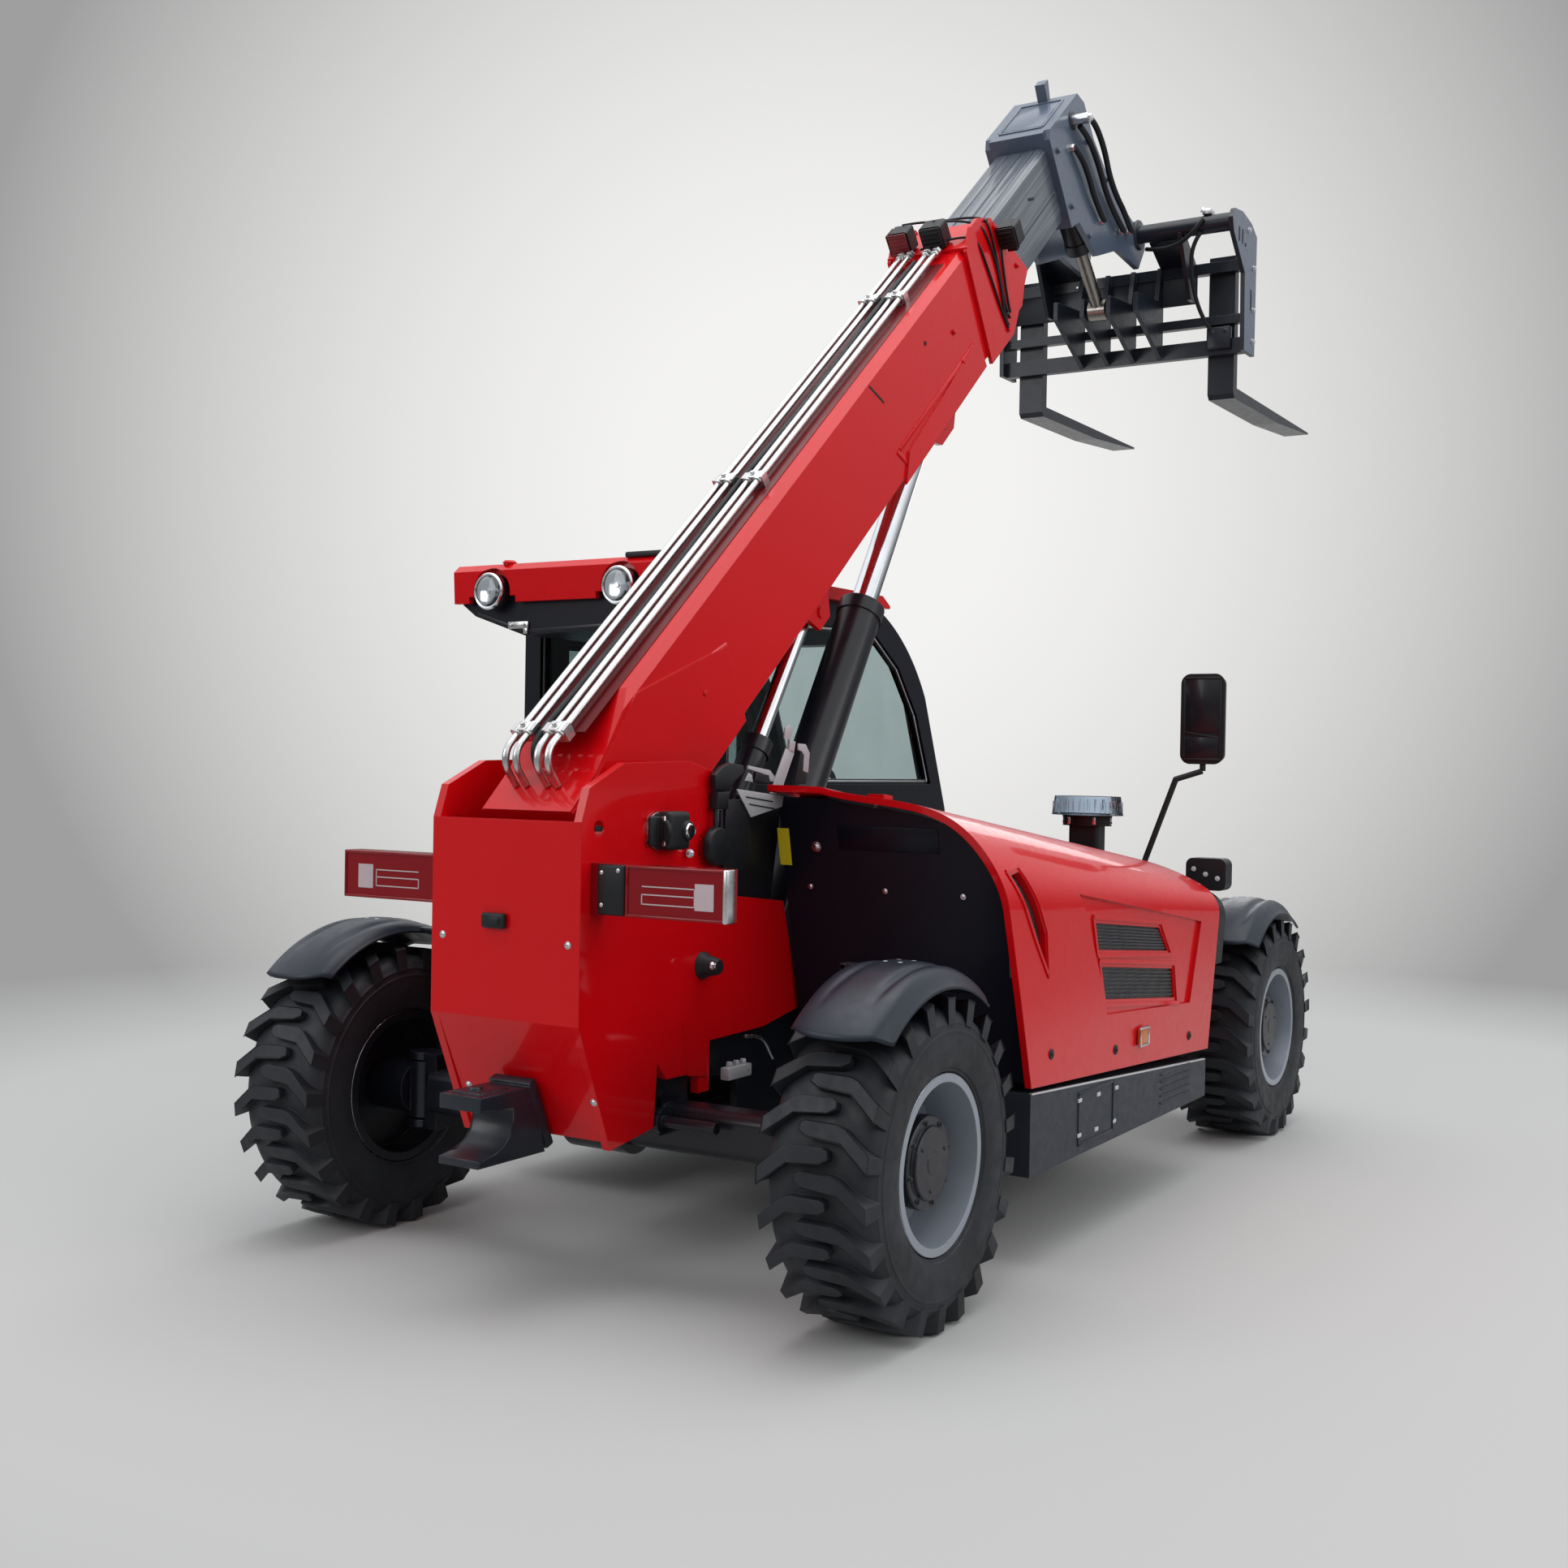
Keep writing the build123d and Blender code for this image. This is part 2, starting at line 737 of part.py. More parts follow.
def side_prism(points, y0, y1):
    """A prism through the right side of the machine with the given side outline."""
    with BuildPart(mode=Mode.PRIVATE) as prism:
        plate(points, y0, y1 - y0)
    return prism.part


bonnet_wall = 20
bonnet_gap = 8
hinge_spots = (-900, -480)
bonnet_side = (
    (-1068, 1500), (-1068, 1340), (-1045, 1250), (-996, 1077), (-964, 942), (-921, 760),
    (-866, 522), (750, 425), (757, 1500),
)
recess = ((-486, 1045), (568, 895), (507, 617), (-277, 663), (-330, 780))
grilles = (
    ((-352, 950), (190, 899), (281, 815), (-325, 866)),
    ((-300, 812), (334, 750), (372, 648), (-264, 708)),
)
slit = ((-930, 1120), (-866, 1128), (-752, 948), (-742, 850), (-800, 930))
with BuildPart() as bonnet:
    add(hood_body(0))
    add(hood_body(bonnet_wall) & side_prism(((-1110, 300), (-1110, 1500), (730, 1500), (730, 300)), -1100, 0),
        mode=Mode.SUBTRACT)
    add(side_prism(bonnet_side, -1100, 0), mode=Mode.INTERSECT)
    add(side_prism(recess, -1100, -900) - hood_body(11), mode=Mode.SUBTRACT)
    for opening in grilles + (slit,):
        add(side_prism(opening, -1100, -880), mode=Mode.SUBTRACT)
    with BuildSketch(side_plane(-997)):
        with Locations((27, 560)):
            Rectangle(70, 50)
    extrude(amount=60, mode=Mode.SUBTRACT)
    for x in hinge_spots:
        with BuildSketch(cross_plane(x)):
            with Locations((hinge_y, hinge_z)):
                Circle(16)
            with BuildLine():
                Polyline((hinge_y, hinge_z + 4), (-330, hinge_z + 4), (-330, hinge_z - 16),
                         (hinge_y, hinge_z - 16), close=True)
            make_face()
            with Locations((-300, hinge_z - 2)):
                Rectangle(60, 70)
            with Locations((hinge_y, hinge_z)):
                Circle(8.1, mode=Mode.SUBTRACT)
        extrude(amount=60)
    add(side_prism(((-1110, 1400), (-1110, 1600), (757, 1600), (757, 1190)), -1100, 0), mode=Mode.SUBTRACT)
save(bonnet, "bonnet")

# Grilles behind the bonnet's openings: a thin panel with slats that reach out into each opening
with BuildPart() as bonnet_grilles:
    backing = hood_body(bonnet_wall) - hood_body(bonnet_wall + 5)
    for opening in grilles + (slit,):
        left = min(point[0] for point in opening) - 12
        right = max(point[0] for point in opening) + 12
        low = min(point[1] for point in opening) - 12
        high = max(point[1] for point in opening) + 12
        add(side_prism(((left, low), (left, high), (right, high), (right, low)), -1100, -880) & backing)
    slat_shell = hood_body(bonnet_wall - 5) - hood_body(bonnet_wall)
    for opening in grilles:
        top_left, top_right, low_right, low_left = opening
        for step in range(1, 8):
            share = step / 8
            x0 = top_left[0] + (low_left[0] - top_left[0]) * share + 6
            z0 = top_left[1] + (low_left[1] - top_left[1]) * share
            x1 = top_right[0] + (low_right[0] - top_right[0]) * share - 6
            z1 = top_right[1] + (low_right[1] - top_right[1]) * share
            add(side_prism(((x0, z0 - 3), (x0, z0 + 3), (x1, z1 + 3), (x1, z1 - 3)), -1100, -880) & slat_shell)
save(bonnet_grilles, "bonnet_grilles")

# Bay liner: the dark wall that closes the engine bay behind the bonnet's rear edge
liner_gap = bonnet_wall + bonnet_gap
with BuildPart() as engine_liner:
    add(hood_body(liner_gap) & side_prism(
        ((-1010, 1330), (-985, 1330), (-815, 530), (-840, 530)), -1100, -cheek_out - 4))
save(engine_liner, "engine_liner")

# Front cowl: carries on the bonnet's line ahead of it, one step lower, for the beacon, mirror and lamp
cowl_front = tuple((y, z - 12) for y, z in hood_front)
with BuildPart() as front_cowl:
    loft(
        [hood_section(767, shrink(hood_front, 22)), hood_section(905, shrink(cowl_front, 26))],
        ruled=True,
    )
    block(700, 1000, -1100, 0, 300, 720, Mode.SUBTRACT)
save(front_cowl, "front_cowl")

# Cab: a hollow shell with its windows cut, on the left of the boom
cab_right = 200
cab_left = 980
cab_wall = 45
door_hinge_x = -575
door_hinge_y = 991
door_hinges = (1020, 1640)
with BuildPart() as cab_shell:
    with BuildSketch(side_plane(cab_left)):
        with BuildLine():
            Polyline((830, 1690), (1020, 1250))
            Polyline((1020, 1250), (1050, 960), (860, 960), (820, 740), (-690, 740), (-690, 1960), (-600, 2010), (430, 2010))
            ThreePointArc((430, 2010), (660, 1880), (830, 1690))
        make_face()
    extrude(amount=cab_left - cab_right)
    with BuildSketch(side_plane(cab_left - cab_wall)):
        with BuildLine():
            Polyline(
                (-690 + cab_wall, 740 + cab_wall), (-690 + cab_wall, 1940), (-590, 1965), (410, 1965),
                (630, 1840), (790, 1665), (975, 1240), (1000, 1005), (825, 1005), (785, 740 + cab_wall), close=True,
            )
        make_face()
    extrude(amount=cab_left - cab_right - 2 * cab_wall, mode=Mode.SUBTRACT)
    # right window
    with BuildSketch(side_plane(cab_right + cab_wall)):
        with BuildLine():
            Polyline(
                (-600, 1350), (-600, 1900), (380, 1930), (600, 1800), (760, 1620), (890, 1350), close=True,
            )
        make_face()
    extrude(amount=cab_wall, mode=Mode.SUBTRACT)
    # rear window
    with BuildSketch(cross_plane(-690)):
        with Locations(((cab_right + cab_left) / 2, 1625)):
            Rectangle(cab_left - cab_right - 160, 560)
    extrude(amount=cab_wall, mode=Mode.SUBTRACT)
    # windscreen
    with BuildSketch(cross_plane(380)):
        with Locations(((cab_right + cab_left) / 2, 1500)):
            Rectangle(cab_left - cab_right - 160, 780)
    extrude(amount=800, mode=Mode.SUBTRACT)
    # door opening
    with BuildSketch(side_plane(cab_left)):
        with BuildLine():
            Polyline(
                (-560, 790), (-560, 1900), (380, 1920), (600, 1790), (740, 1600), (740, 1000), (640, 790), close=True,
            )
        make_face()
    extrude(amount=cab_wall, mode=Mode.SUBTRACT)
    for z in door_hinges:
        with BuildSketch(level_plane(z - 44)):
            with Locations((door_hinge_x, door_hinge_y)):
                Circle(12)
        extrude(amount=42)
        with BuildSketch(level_plane(z - 2)):
            with Locations((door_hinge_x, door_hinge_y)):
                Circle(6)
        extrude(amount=44)
save(cab_shell, "cab_shell")

with BuildPart() as cab_door:
    door = (
        (-552, 798), (-552, 1892), (376, 1912), (594, 1783), (732, 1596), (732, 1002), (634, 798),
    )
    pane = (
        (-490, 1150), (-490, 1830), (360, 1850), (560, 1740), (672, 1580), (672, 1150),
    )
    plate(door, cab_left - 35, 30)
    for z in door_hinges:
        with BuildSketch(level_plane(z)):
            with Locations((door_hinge_x, door_hinge_y)):
                Circle(9.5)
            with Locations(((door_hinge_x - 470) / 2, door_hinge_y - 1)):
                Rectangle(-470 - door_hinge_x, 8)
            with Locations((-508, door_hinge_y - 9)):
                Rectangle(76, 22)
            with Locations((door_hinge_x, door_hinge_y)):
                Circle(6.1, mode=Mode.SUBTRACT)
        extrude(amount=40)
    with BuildSketch(side_plane(cab_left)):
        with BuildLine():
            Polyline(*pane, close=True)
        make_face()
    extrude(amount=60, mode=Mode.SUBTRACT)
save(cab_door, "cab_door")

with BuildPart() as door_glass:
    plate(pane, cab_left - 24, 6)
save(door_glass, "door_glass")

with BuildPart() as cab_glass:
    plate(
        ((-600, 1350), (-600, 1900), (380, 1930), (600, 1800), (760, 1620), (890, 1350)),
        cab_right + 18,
        6,
    )
    block(-674, -668, cab_right + 80, cab_left - 80, 1345, 1905)
save(cab_glass, "cab_glass")

# Roof: a red cap whose rear band drops around the work lamps, over a dark visor
lamp_spots = ((837, 1966), (313, 1966))
lamp_radius = 58
with BuildPart() as cab_roof:
    with BuildSketch(side_plane(cab_left + 20)):
        with BuildLine():
            Polyline(
                (-1030, 1930), (-1036, 2034), (-1010, 2056), (390, 2056), (450, 2022), (446, 2011),
                (-1000, 2011), (-1008, 2000), (-1008, 1930), close=True,
            )
        make_face()
    extrude(amount=cab_left - cab_right + 60)
    for y, z in lamp_spots:
        with BuildSketch(cross_plane(-1060)):
            with Locations((y, z)):
                Circle(lamp_radius + 18)
            with Locations((y, z - 60)):
                Rectangle(2 * lamp_radius + 80, 90)
        extrude(amount=56, mode=Mode.SUBTRACT)
save(cab_roof, "cab_roof")

visor_outline = (
    (168, 2003), (994, 2003), (994, 1935), (930, 1890), (719, 1822), (215, 1840), (168, 1890),
)
with BuildPart() as roof_visor:
    with BuildSketch(cross_plane(-1004)):
        with BuildLine():
            Polyline(*visor_outline, close=True)
        make_face()
    extrude(amount=312)
save(roof_visor, "roof_visor")

with BuildPart() as work_lamps:
    for y, z in lamp_spots:
        with BuildSketch(cross_plane(-1006)):
            with Locations((y, z)):
                Circle(lamp_radius)
        extrude(amount=-36, taper=6)
save(work_lamps, "work_lamps")

with BuildPart() as seat:
    block(-450, 50, 360, 830, 1100, 1220)
    block(-480, -360, 360, 830, 1220, 1720)
    block(-420, 20, 420, 770, 785, 1100)
save(seat, "seat")

with BuildPart() as steering_console:
    block(480, 640, 500, 680, 785, 1240)
    with BuildSketch(Plane(origin=(mid_x + 470, 590, 1300), z_dir=(-0.6, 0, 0.8))):
        Circle(180)
        Circle(160, mode=Mode.SUBTRACT)
    extrude(amount=22)
    with BuildSketch(Plane(origin=(mid_x + 470, 590, 1300), z_dir=(-0.6, 0, 0.8))):
        Rectangle(330, 30)
    extrude(amount=14)
    with BuildSketch(Plane(origin=(mid_x + 470, 590, 1304), z_dir=(0.6, 0, -0.8))):
        Circle(25)
    extrude(amount=140)
save(steering_console, "steering_console")

# Lamps, mirrors and fittings
with BuildPart() as rear_lamps:
    for side, length in ((1, 365), (-1, 405)):
        y0 = cheek_out if side > 0 else -cheek_out - length
        block(-1880, -1820, y0, y0 + length, 1030, 1160)
save(rear_lamps, "rear_lamps")

with BuildPart() as tow_hitch:
    plate(((-1900, 390), (-1900, 600), (-1857, 600), (-1782, 430), (-1800, 390)), -70, 140)
    block(-2080, -1890, -70, 70, 545, 570)
    block(-2080, -1890, -70, 70, 390, 415)
    with BuildSketch(level_plane(390)):
        with Locations((-2020, 0)):
            Circle(18)
    extrude(amount=200)
save(tow_hitch, "tow_hitch")

beacon_x = 890
beacon_y = -470
with BuildPart() as beacon:
    with BuildSketch(level_plane(1085)):
        with Locations((beacon_x, beacon_y)):
            RectangleRounded(84, 120, 14)
    extrude(amount=120)
    with BuildSketch(level_plane(1205)):
        with Locations((beacon_x, beacon_y)):
            Ellipse(60, 96)
    extrude(amount=40)
    with BuildSketch(level_plane(1245)):
        with Locations((beacon_x, beacon_y)):
            Ellipse(90, 140)
    extrude(amount=72, taper=8)
    add(front_cowl.part, mode=Mode.SUBTRACT)
save(beacon, "beacon")

# Right mirror: a bent arm on the cowl and a deep shell head that faces the driver
mirror_x = 925
mirror_y = -905
arm_route = ((874, -700, 1060), (880, -712, 1100), (900, -812, 1388), (mirror_x, mirror_y, 1420),
             (mirror_x, mirror_y, 1470))
with BuildPart() as right_mirror:
    with BuildLine():
        arm = Polyline(*[(mid_x + x, y, z) for x, y, z in arm_route])
    with BuildSketch(Plane(origin=arm @ 0, z_dir=arm % 0)):
        Circle(11)
    sweep(transition=Transition.ROUND)
    with BuildSketch(cross_plane(mirror_x - 14)):
        with Locations((mirror_y, 1612)):
            RectangleRounded(166, 334, 38)
    extrude(amount=50, taper=12)
    add(front_cowl.part, mode=Mode.SUBTRACT)
save(right_mirror, "right_mirror")

with BuildPart() as head_lamps:
    with BuildSketch(cross_plane(906)):
        with Locations((-930, 1040)):
            RectangleRounded(150, 118, 26)
    extrude(amount=76)
save(head_lamps, "head_lamps")
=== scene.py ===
# %% [markdown]
# # A compact telehandler, dressed
# The CAD model gives every solid of the machine in metres: X forward, Y to its left, Z up, with the
# ground at Z = 0. This notebook loads it as a fixed frame, gives each solid its finish, and adds the
# lighter pieces that a photograph shows, such as tread, bolts, lenses, seals and hoses.

# %% Load the frame
import math
import bmesh
import bpy
from mathutils import Matrix, Vector
from mathutils.bvhtree import BVHTree


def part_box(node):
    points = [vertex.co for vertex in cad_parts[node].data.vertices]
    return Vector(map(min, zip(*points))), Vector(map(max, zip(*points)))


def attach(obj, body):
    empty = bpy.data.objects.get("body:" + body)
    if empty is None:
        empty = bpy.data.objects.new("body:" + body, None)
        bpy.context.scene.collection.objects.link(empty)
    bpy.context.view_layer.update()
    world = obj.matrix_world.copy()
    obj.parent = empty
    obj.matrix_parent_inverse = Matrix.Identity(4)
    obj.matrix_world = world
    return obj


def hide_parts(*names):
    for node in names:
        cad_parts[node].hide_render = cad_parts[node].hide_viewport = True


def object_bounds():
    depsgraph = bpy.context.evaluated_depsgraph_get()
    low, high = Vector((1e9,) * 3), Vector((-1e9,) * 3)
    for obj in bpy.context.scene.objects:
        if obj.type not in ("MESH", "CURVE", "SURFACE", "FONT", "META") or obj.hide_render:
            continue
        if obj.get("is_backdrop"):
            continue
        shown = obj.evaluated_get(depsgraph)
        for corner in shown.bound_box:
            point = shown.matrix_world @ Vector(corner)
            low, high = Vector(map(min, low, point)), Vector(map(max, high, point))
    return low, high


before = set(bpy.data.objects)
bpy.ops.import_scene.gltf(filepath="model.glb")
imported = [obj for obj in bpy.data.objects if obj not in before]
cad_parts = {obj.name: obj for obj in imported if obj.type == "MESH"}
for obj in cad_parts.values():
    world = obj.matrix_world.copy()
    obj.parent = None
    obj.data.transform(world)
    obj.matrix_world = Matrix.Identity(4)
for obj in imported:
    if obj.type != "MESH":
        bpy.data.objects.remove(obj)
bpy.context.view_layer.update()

# %% [markdown]
# ## Camera
# The photograph looks at the machine from behind and from its right, from a little above axle height.
# A camera can be placed by eye, or from the wheels and panel edges whose real size is known. The second
# way was used, and it gave a place, a direction, a slight roll and a focal length, so the same
# numbers are set here as a matrix whose columns are right, up and back.

# %% Camera
photo_side = 1932
photo_focal = 2160
sensor_width = 36
eye = Vector((-6.176, -2.996, 1.418))
azimuth, elevation, roll = (math.radians(v) for v in (31.71, -0.64, 0.98))
forward = Vector((math.cos(azimuth) * math.cos(elevation), math.sin(azimuth) * math.cos(elevation),
                  math.sin(elevation)))
level_right = Vector((math.sin(azimuth), -math.cos(azimuth), 0))
level_up = level_right.cross(forward)
right = level_right * math.cos(roll) + level_up * math.sin(roll)
up = level_up * math.cos(roll) - level_right * math.sin(roll)
camera = bpy.data.objects.new("camera", bpy.data.cameras.new("camera"))
bpy.context.scene.collection.objects.link(camera)
camera.matrix_world = Matrix((
    (right.x, up.x, -forward.x, eye.x),
    (right.y, up.y, -forward.y, eye.y),
    (right.z, up.z, -forward.z, eye.z),
    (0, 0, 0, 1),
))
camera.data.sensor_width = sensor_width
camera.data.lens = photo_focal / photo_side * sensor_width
camera.data.clip_end = 400
bpy.context.scene.camera = camera
print("camera at", tuple(eye), "lens", round(camera.data.lens, 2))

# %% [markdown]
# ## Helpers for places
# The boom is drawn in its own frame: along the boom from the lift pivot, to the left, and square above
# it. One matrix carries that frame into the machine's. Another helper does the same for anything that
# sits on a panel: it takes a point and the direction that the panel faces. Short names for a place on the
# boom, a place measured from the wheelbase and a shift along a frame's own axes keep the steps readable.

# %% Places
wheelbase_x = -0.775
boom_angle = math.radians(40.5)
lift_pivot = (-1.6 + wheelbase_x, 0, 1.235)
boom_frame = Matrix.Translation(lift_pivot) @ Matrix.Rotation(-boom_angle, 4, "Y")


def facing(point, normal):
    """A frame at a point whose Z leaves the surface along the given normal."""
    turn = Vector(normal).normalized().to_track_quat("Z", "Y").to_matrix().to_4x4()
    return Matrix.Translation(Vector(point)) @ turn


def at(x, y, z):
    """A place measured from the middle of the wheelbase."""
    return Vector((x + wheelbase_x, y, z))


def place_at(x, y, z):
    """The same place as an unturned frame."""
    return Matrix.Translation(at(x, y, z))


def on_boom(along, y, above):
    """A frame on the boom: along it, to the left, and square above the lift pivot."""
    return boom_frame @ Matrix.Translation((along, y, above))


def offset(place, x, y, z):
    """A frame moved along its own axes."""
    return place @ Matrix.Translation((x, y, z))


print("tail of the boom", tuple(round(v, 3) for v in boom_frame @ Vector((0, 0, 0.2))))

# %% [markdown]
# ## Helpers for shapes
# Most fittings are a few bmesh operators in a row: a cylinder for a bolt, a bevelled block for a
# housing, a spun profile for anything round. Each helper adds to one bmesh, so that many small
# parts make one piece, and the last helper turns the bmesh into an object that rides on its body.

# %% Shapes
def bevel_edges(form, edges, width, segments=2):
    bmesh.ops.bevel(form, geom=edges, offset=width, offset_type="OFFSET", affect="EDGES",
                    segments=segments, profile=0.5, material=-1, clamp_overlap=True)


def add_block(form, place, size, bevel=0.0, segments=2):
    made = bmesh.ops.create_cube(form, size=1.0)
    bmesh.ops.scale(form, vec=Vector(size), verts=made["verts"])
    bmesh.ops.transform(form, matrix=place, verts=made["verts"])
    if bevel:
        edges = list({e for v in made["verts"] for e in v.link_edges})
        bevel_edges(form, edges, bevel, segments)


def add_drum(form, place, radius, depth, top=None, segments=32, bevel=0.0):
    """A cylinder or cone that stands on its place along its Z."""
    made = bmesh.ops.create_cone(form, cap_ends=True, segments=segments, radius1=radius,
                                 radius2=radius if top is None else top, depth=depth)
    bmesh.ops.transform(form, matrix=offset(place, 0, 0, depth / 2), verts=made["verts"])
    if bevel:
        caps = [e for e in {e for v in made["verts"] for e in v.link_edges}
                if len(e.link_faces) == 2 and any(len(f.verts) > 4 for f in e.link_faces)]
        bevel_edges(form, caps, bevel)


def add_bolt(form, place, across, height=0.008):
    """A hexagon head on a thin washer."""
    add_drum(form, place, across * 0.72, 0.0022, segments=24)
    add_drum(form, offset(place, 0, 0, 0.002), across * 0.577, height, across * 0.55, 6, 0.0012)


def add_spun(form, place, profile, segments, closed=False):
    """A profile of (radius, height) points turned about its place's Z."""
    points = [form.verts.new(Vector((r, 0, h))) for r, h in profile]
    loop = points + points[:1] if closed else points
    edges = [form.edges.new(pair) for pair in zip(loop, loop[1:])]
    bmesh.ops.spin(form, geom=points + edges, cent=(0, 0, 0), axis=(0, 0, 1), angle=2 * math.pi,
                   steps=segments, use_merge=True, use_duplicate=False)
    front = [v for v in points if v.is_valid]
    reached = set(front)
    while front:
        vert = front.pop()
        joined = {edge.other_vert(vert) for edge in vert.link_edges} - reached
        reached |= joined
        front.extend(joined)
    bmesh.ops.remove_doubles(form, verts=list(reached), dist=1e-6)
    alive = [v for v in reached if v.is_valid]
    bmesh.ops.transform(form, matrix=place, verts=alive)
    return alive


def add_prism(form, near, far):
    """A solid between two matching outlines. Its two end faces are returned."""
    near = [form.verts.new(p) for p in near]
    far = [form.verts.new(p) for p in far]
    ends = [form.faces.new(near), form.faces.new(far[::-1])]
    for corners in zip(near, near[1:] + near[:1], far[1:] + far[:1], far):
        form.faces.new(corners)
    return ends


def add_side_plate(form, outline, y_near, y_far):
    """A flat part between two side planes, from its outline in x and z."""
    return add_prism(form, [at(x, y_near, z) for x, z in outline], [at(x, y_far, z) for x, z in outline])


def four_bars(reach_across, reach_up, wide, high, bar):
    """Shift and size of the bars round a rectangle, each as (across, up, wide, high)."""
    return ((0, reach_up, wide, bar), (0, -reach_up, wide, bar),
            (reach_across, 0, bar, high), (-reach_across, 0, bar, high))


def link_object(name, data):
    made = bpy.data.objects.new(name, data)
    bpy.context.scene.collection.objects.link(made)
    return made


def finish_piece(name, form, body, finish, smooth=32, place=Matrix()):
    bmesh.ops.transform(form, matrix=place, verts=form.verts)
    bmesh.ops.recalc_face_normals(form, faces=form.faces)
    mesh = bpy.data.meshes.new(name)
    form.to_mesh(mesh)
    form.free()
    mesh.shade_smooth()
    mesh.set_sharp_from_angle(angle=math.radians(smooth))
    piece = link_object(name, mesh)
    mesh.materials.append(finish)
    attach(piece, body)
    print(name, len(mesh.polygons), "faces on", body)
    return piece


def smooth_line(name, points, resolution):
    """A curve along smooth control points, without thickness yet."""
    curve = bpy.data.curves.new(name, "CURVE")
    curve.dimensions = "3D"
    line = curve.splines.new("NURBS")
    line.points.add(len(points) - 1)
    for control, point in zip(line.points, points):
        control.co = (*point, 1)
    line.order_u = 3
    line.use_endpoint_u = True
    line.resolution_u = resolution
    return curve


def thicken(curve, radius, resolution):
    curve.bevel_depth = radius
    curve.bevel_resolution = resolution
    curve.use_fill_caps = True


def add_tube(name, points, radius, body, finish, resolution=6):
    """A pipe or wire along smooth points, made a mesh at once."""
    curve = smooth_line(name, points, resolution)
    thicken(curve, radius, 3)
    holder = link_object(name + "_line", curve)
    bpy.context.view_layer.update()
    mesh = bpy.data.meshes.new_from_object(holder.evaluated_get(bpy.context.evaluated_depsgraph_get()))
    bpy.data.objects.remove(holder)
    bpy.data.curves.remove(curve)
    mesh.name = name
    mesh.shade_smooth()
    mesh.materials.clear()
    mesh.materials.append(finish)
    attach(link_object(name, mesh), body)


print("helpers ready")

# %% [markdown]
# ## Helpers for finishes
# Every finish is a Principled shader fed by noise on Object coordinates, so the pattern stays on the
# piece when it moves. Paint varies a little in tone, its roughness is uneven, and a fine bump stands
# for the spray's texture. A Bevel node rounds hard edges for the light, as a real pressed or welded
# edge is round, and the same rounding tells where an edge is, so that wear can show there.

# %% Finish helpers
def start_finish(name):
    finish = bpy.data.materials.new(name)
    finish.use_nodes = True
    tree = finish.node_tree
    return finish, tree, tree.nodes["Principled BSDF"], tree.nodes.new("ShaderNodeTexCoord")


def add_node(tree, kind, **settings):
    """A shader node with its own properties set."""
    node = tree.nodes.new("ShaderNode" + kind)
    for key, value in settings.items():
        setattr(node, key, value)
    return node


def set_inputs(node, values):
    for socket, value in values.items():
        node.inputs[socket].default_value = value


def mapped(tree, source, values):
    """Coordinates turned or stretched before they reach a texture."""
    mapping = add_node(tree, "Mapping")
    set_inputs(mapping, values)
    tree.links.new(source, mapping.inputs["Vector"])
    return mapping.outputs["Vector"]


def noise(tree, place, scale, detail=3.0, stretch=None):
    texture = add_node(tree, "TexNoise")
    set_inputs(texture, {"Scale": scale, "Detail": detail})
    source = place.outputs["Object"]
    if stretch:
        source = mapped(tree, source, {"Scale": stretch})
    tree.links.new(source, texture.inputs["Vector"])
    return texture.outputs["Fac"]


def remap(tree, factor, low, high, start=0.3, stop=0.7):
    ramp = add_node(tree, "MapRange")
    set_inputs(ramp, {"From Min": start, "From Max": stop, "To Min": low, "To Max": high})
    tree.links.new(factor, ramp.inputs["Value"])
    return ramp.outputs["Result"]


def blend_colours(tree, factor, first, second):
    mix = add_node(tree, "Mix", data_type="RGBA")
    tree.links.new(factor, mix.inputs[0])
    for socket, value in ((mix.inputs[6], first), (mix.inputs[7], second)):
        if isinstance(value, tuple):
            socket.default_value = (*value, 1)
        else:
            tree.links.new(value, socket)
    return mix.outputs[2]


def rounded(tree, radius):
    bevel = add_node(tree, "Bevel", samples=4)
    bevel.inputs["Radius"].default_value = radius
    return bevel.outputs["Normal"]


def edge_wear(tree, normal, amount):
    """Near 1 on hard edges, broken up by the caller's noise."""
    geometry = add_node(tree, "NewGeometry")
    dot = add_node(tree, "VectorMath", operation="DOT_PRODUCT")
    tree.links.new(normal, dot.inputs[0])
    tree.links.new(geometry.outputs["Normal"], dot.inputs[1])
    return remap(tree, dot.outputs["Value"], amount, 0.0, 0.82, 0.99)


def bump(tree, height, strength, distance, normal=None):
    node = add_node(tree, "Bump")
    set_inputs(node, {"Strength": strength, "Distance": distance})
    tree.links.new(height, node.inputs["Height"])
    if normal:
        tree.links.new(normal, node.inputs["Normal"])
    return node.outputs["Normal"]


def shade(colour, factor):
    """The same colour, darker or paler."""
    return tuple(min(1.0, c * factor) for c in colour)


print("finish helpers ready")

# %% [markdown]
# ## Paints, plastic, rubber and metal
# The machine has a gloss red, a satin near-black, two slate greys, blue-grey moulded fenders, silver
# rims, hard chrome on the rods and bright zinc pipes. One function makes every paint, so that they
# differ only in what really differs: colour, gloss, grain and how much their edges have worn.

# %% Paint
bare_metal = (0.32, 0.33, 0.35)


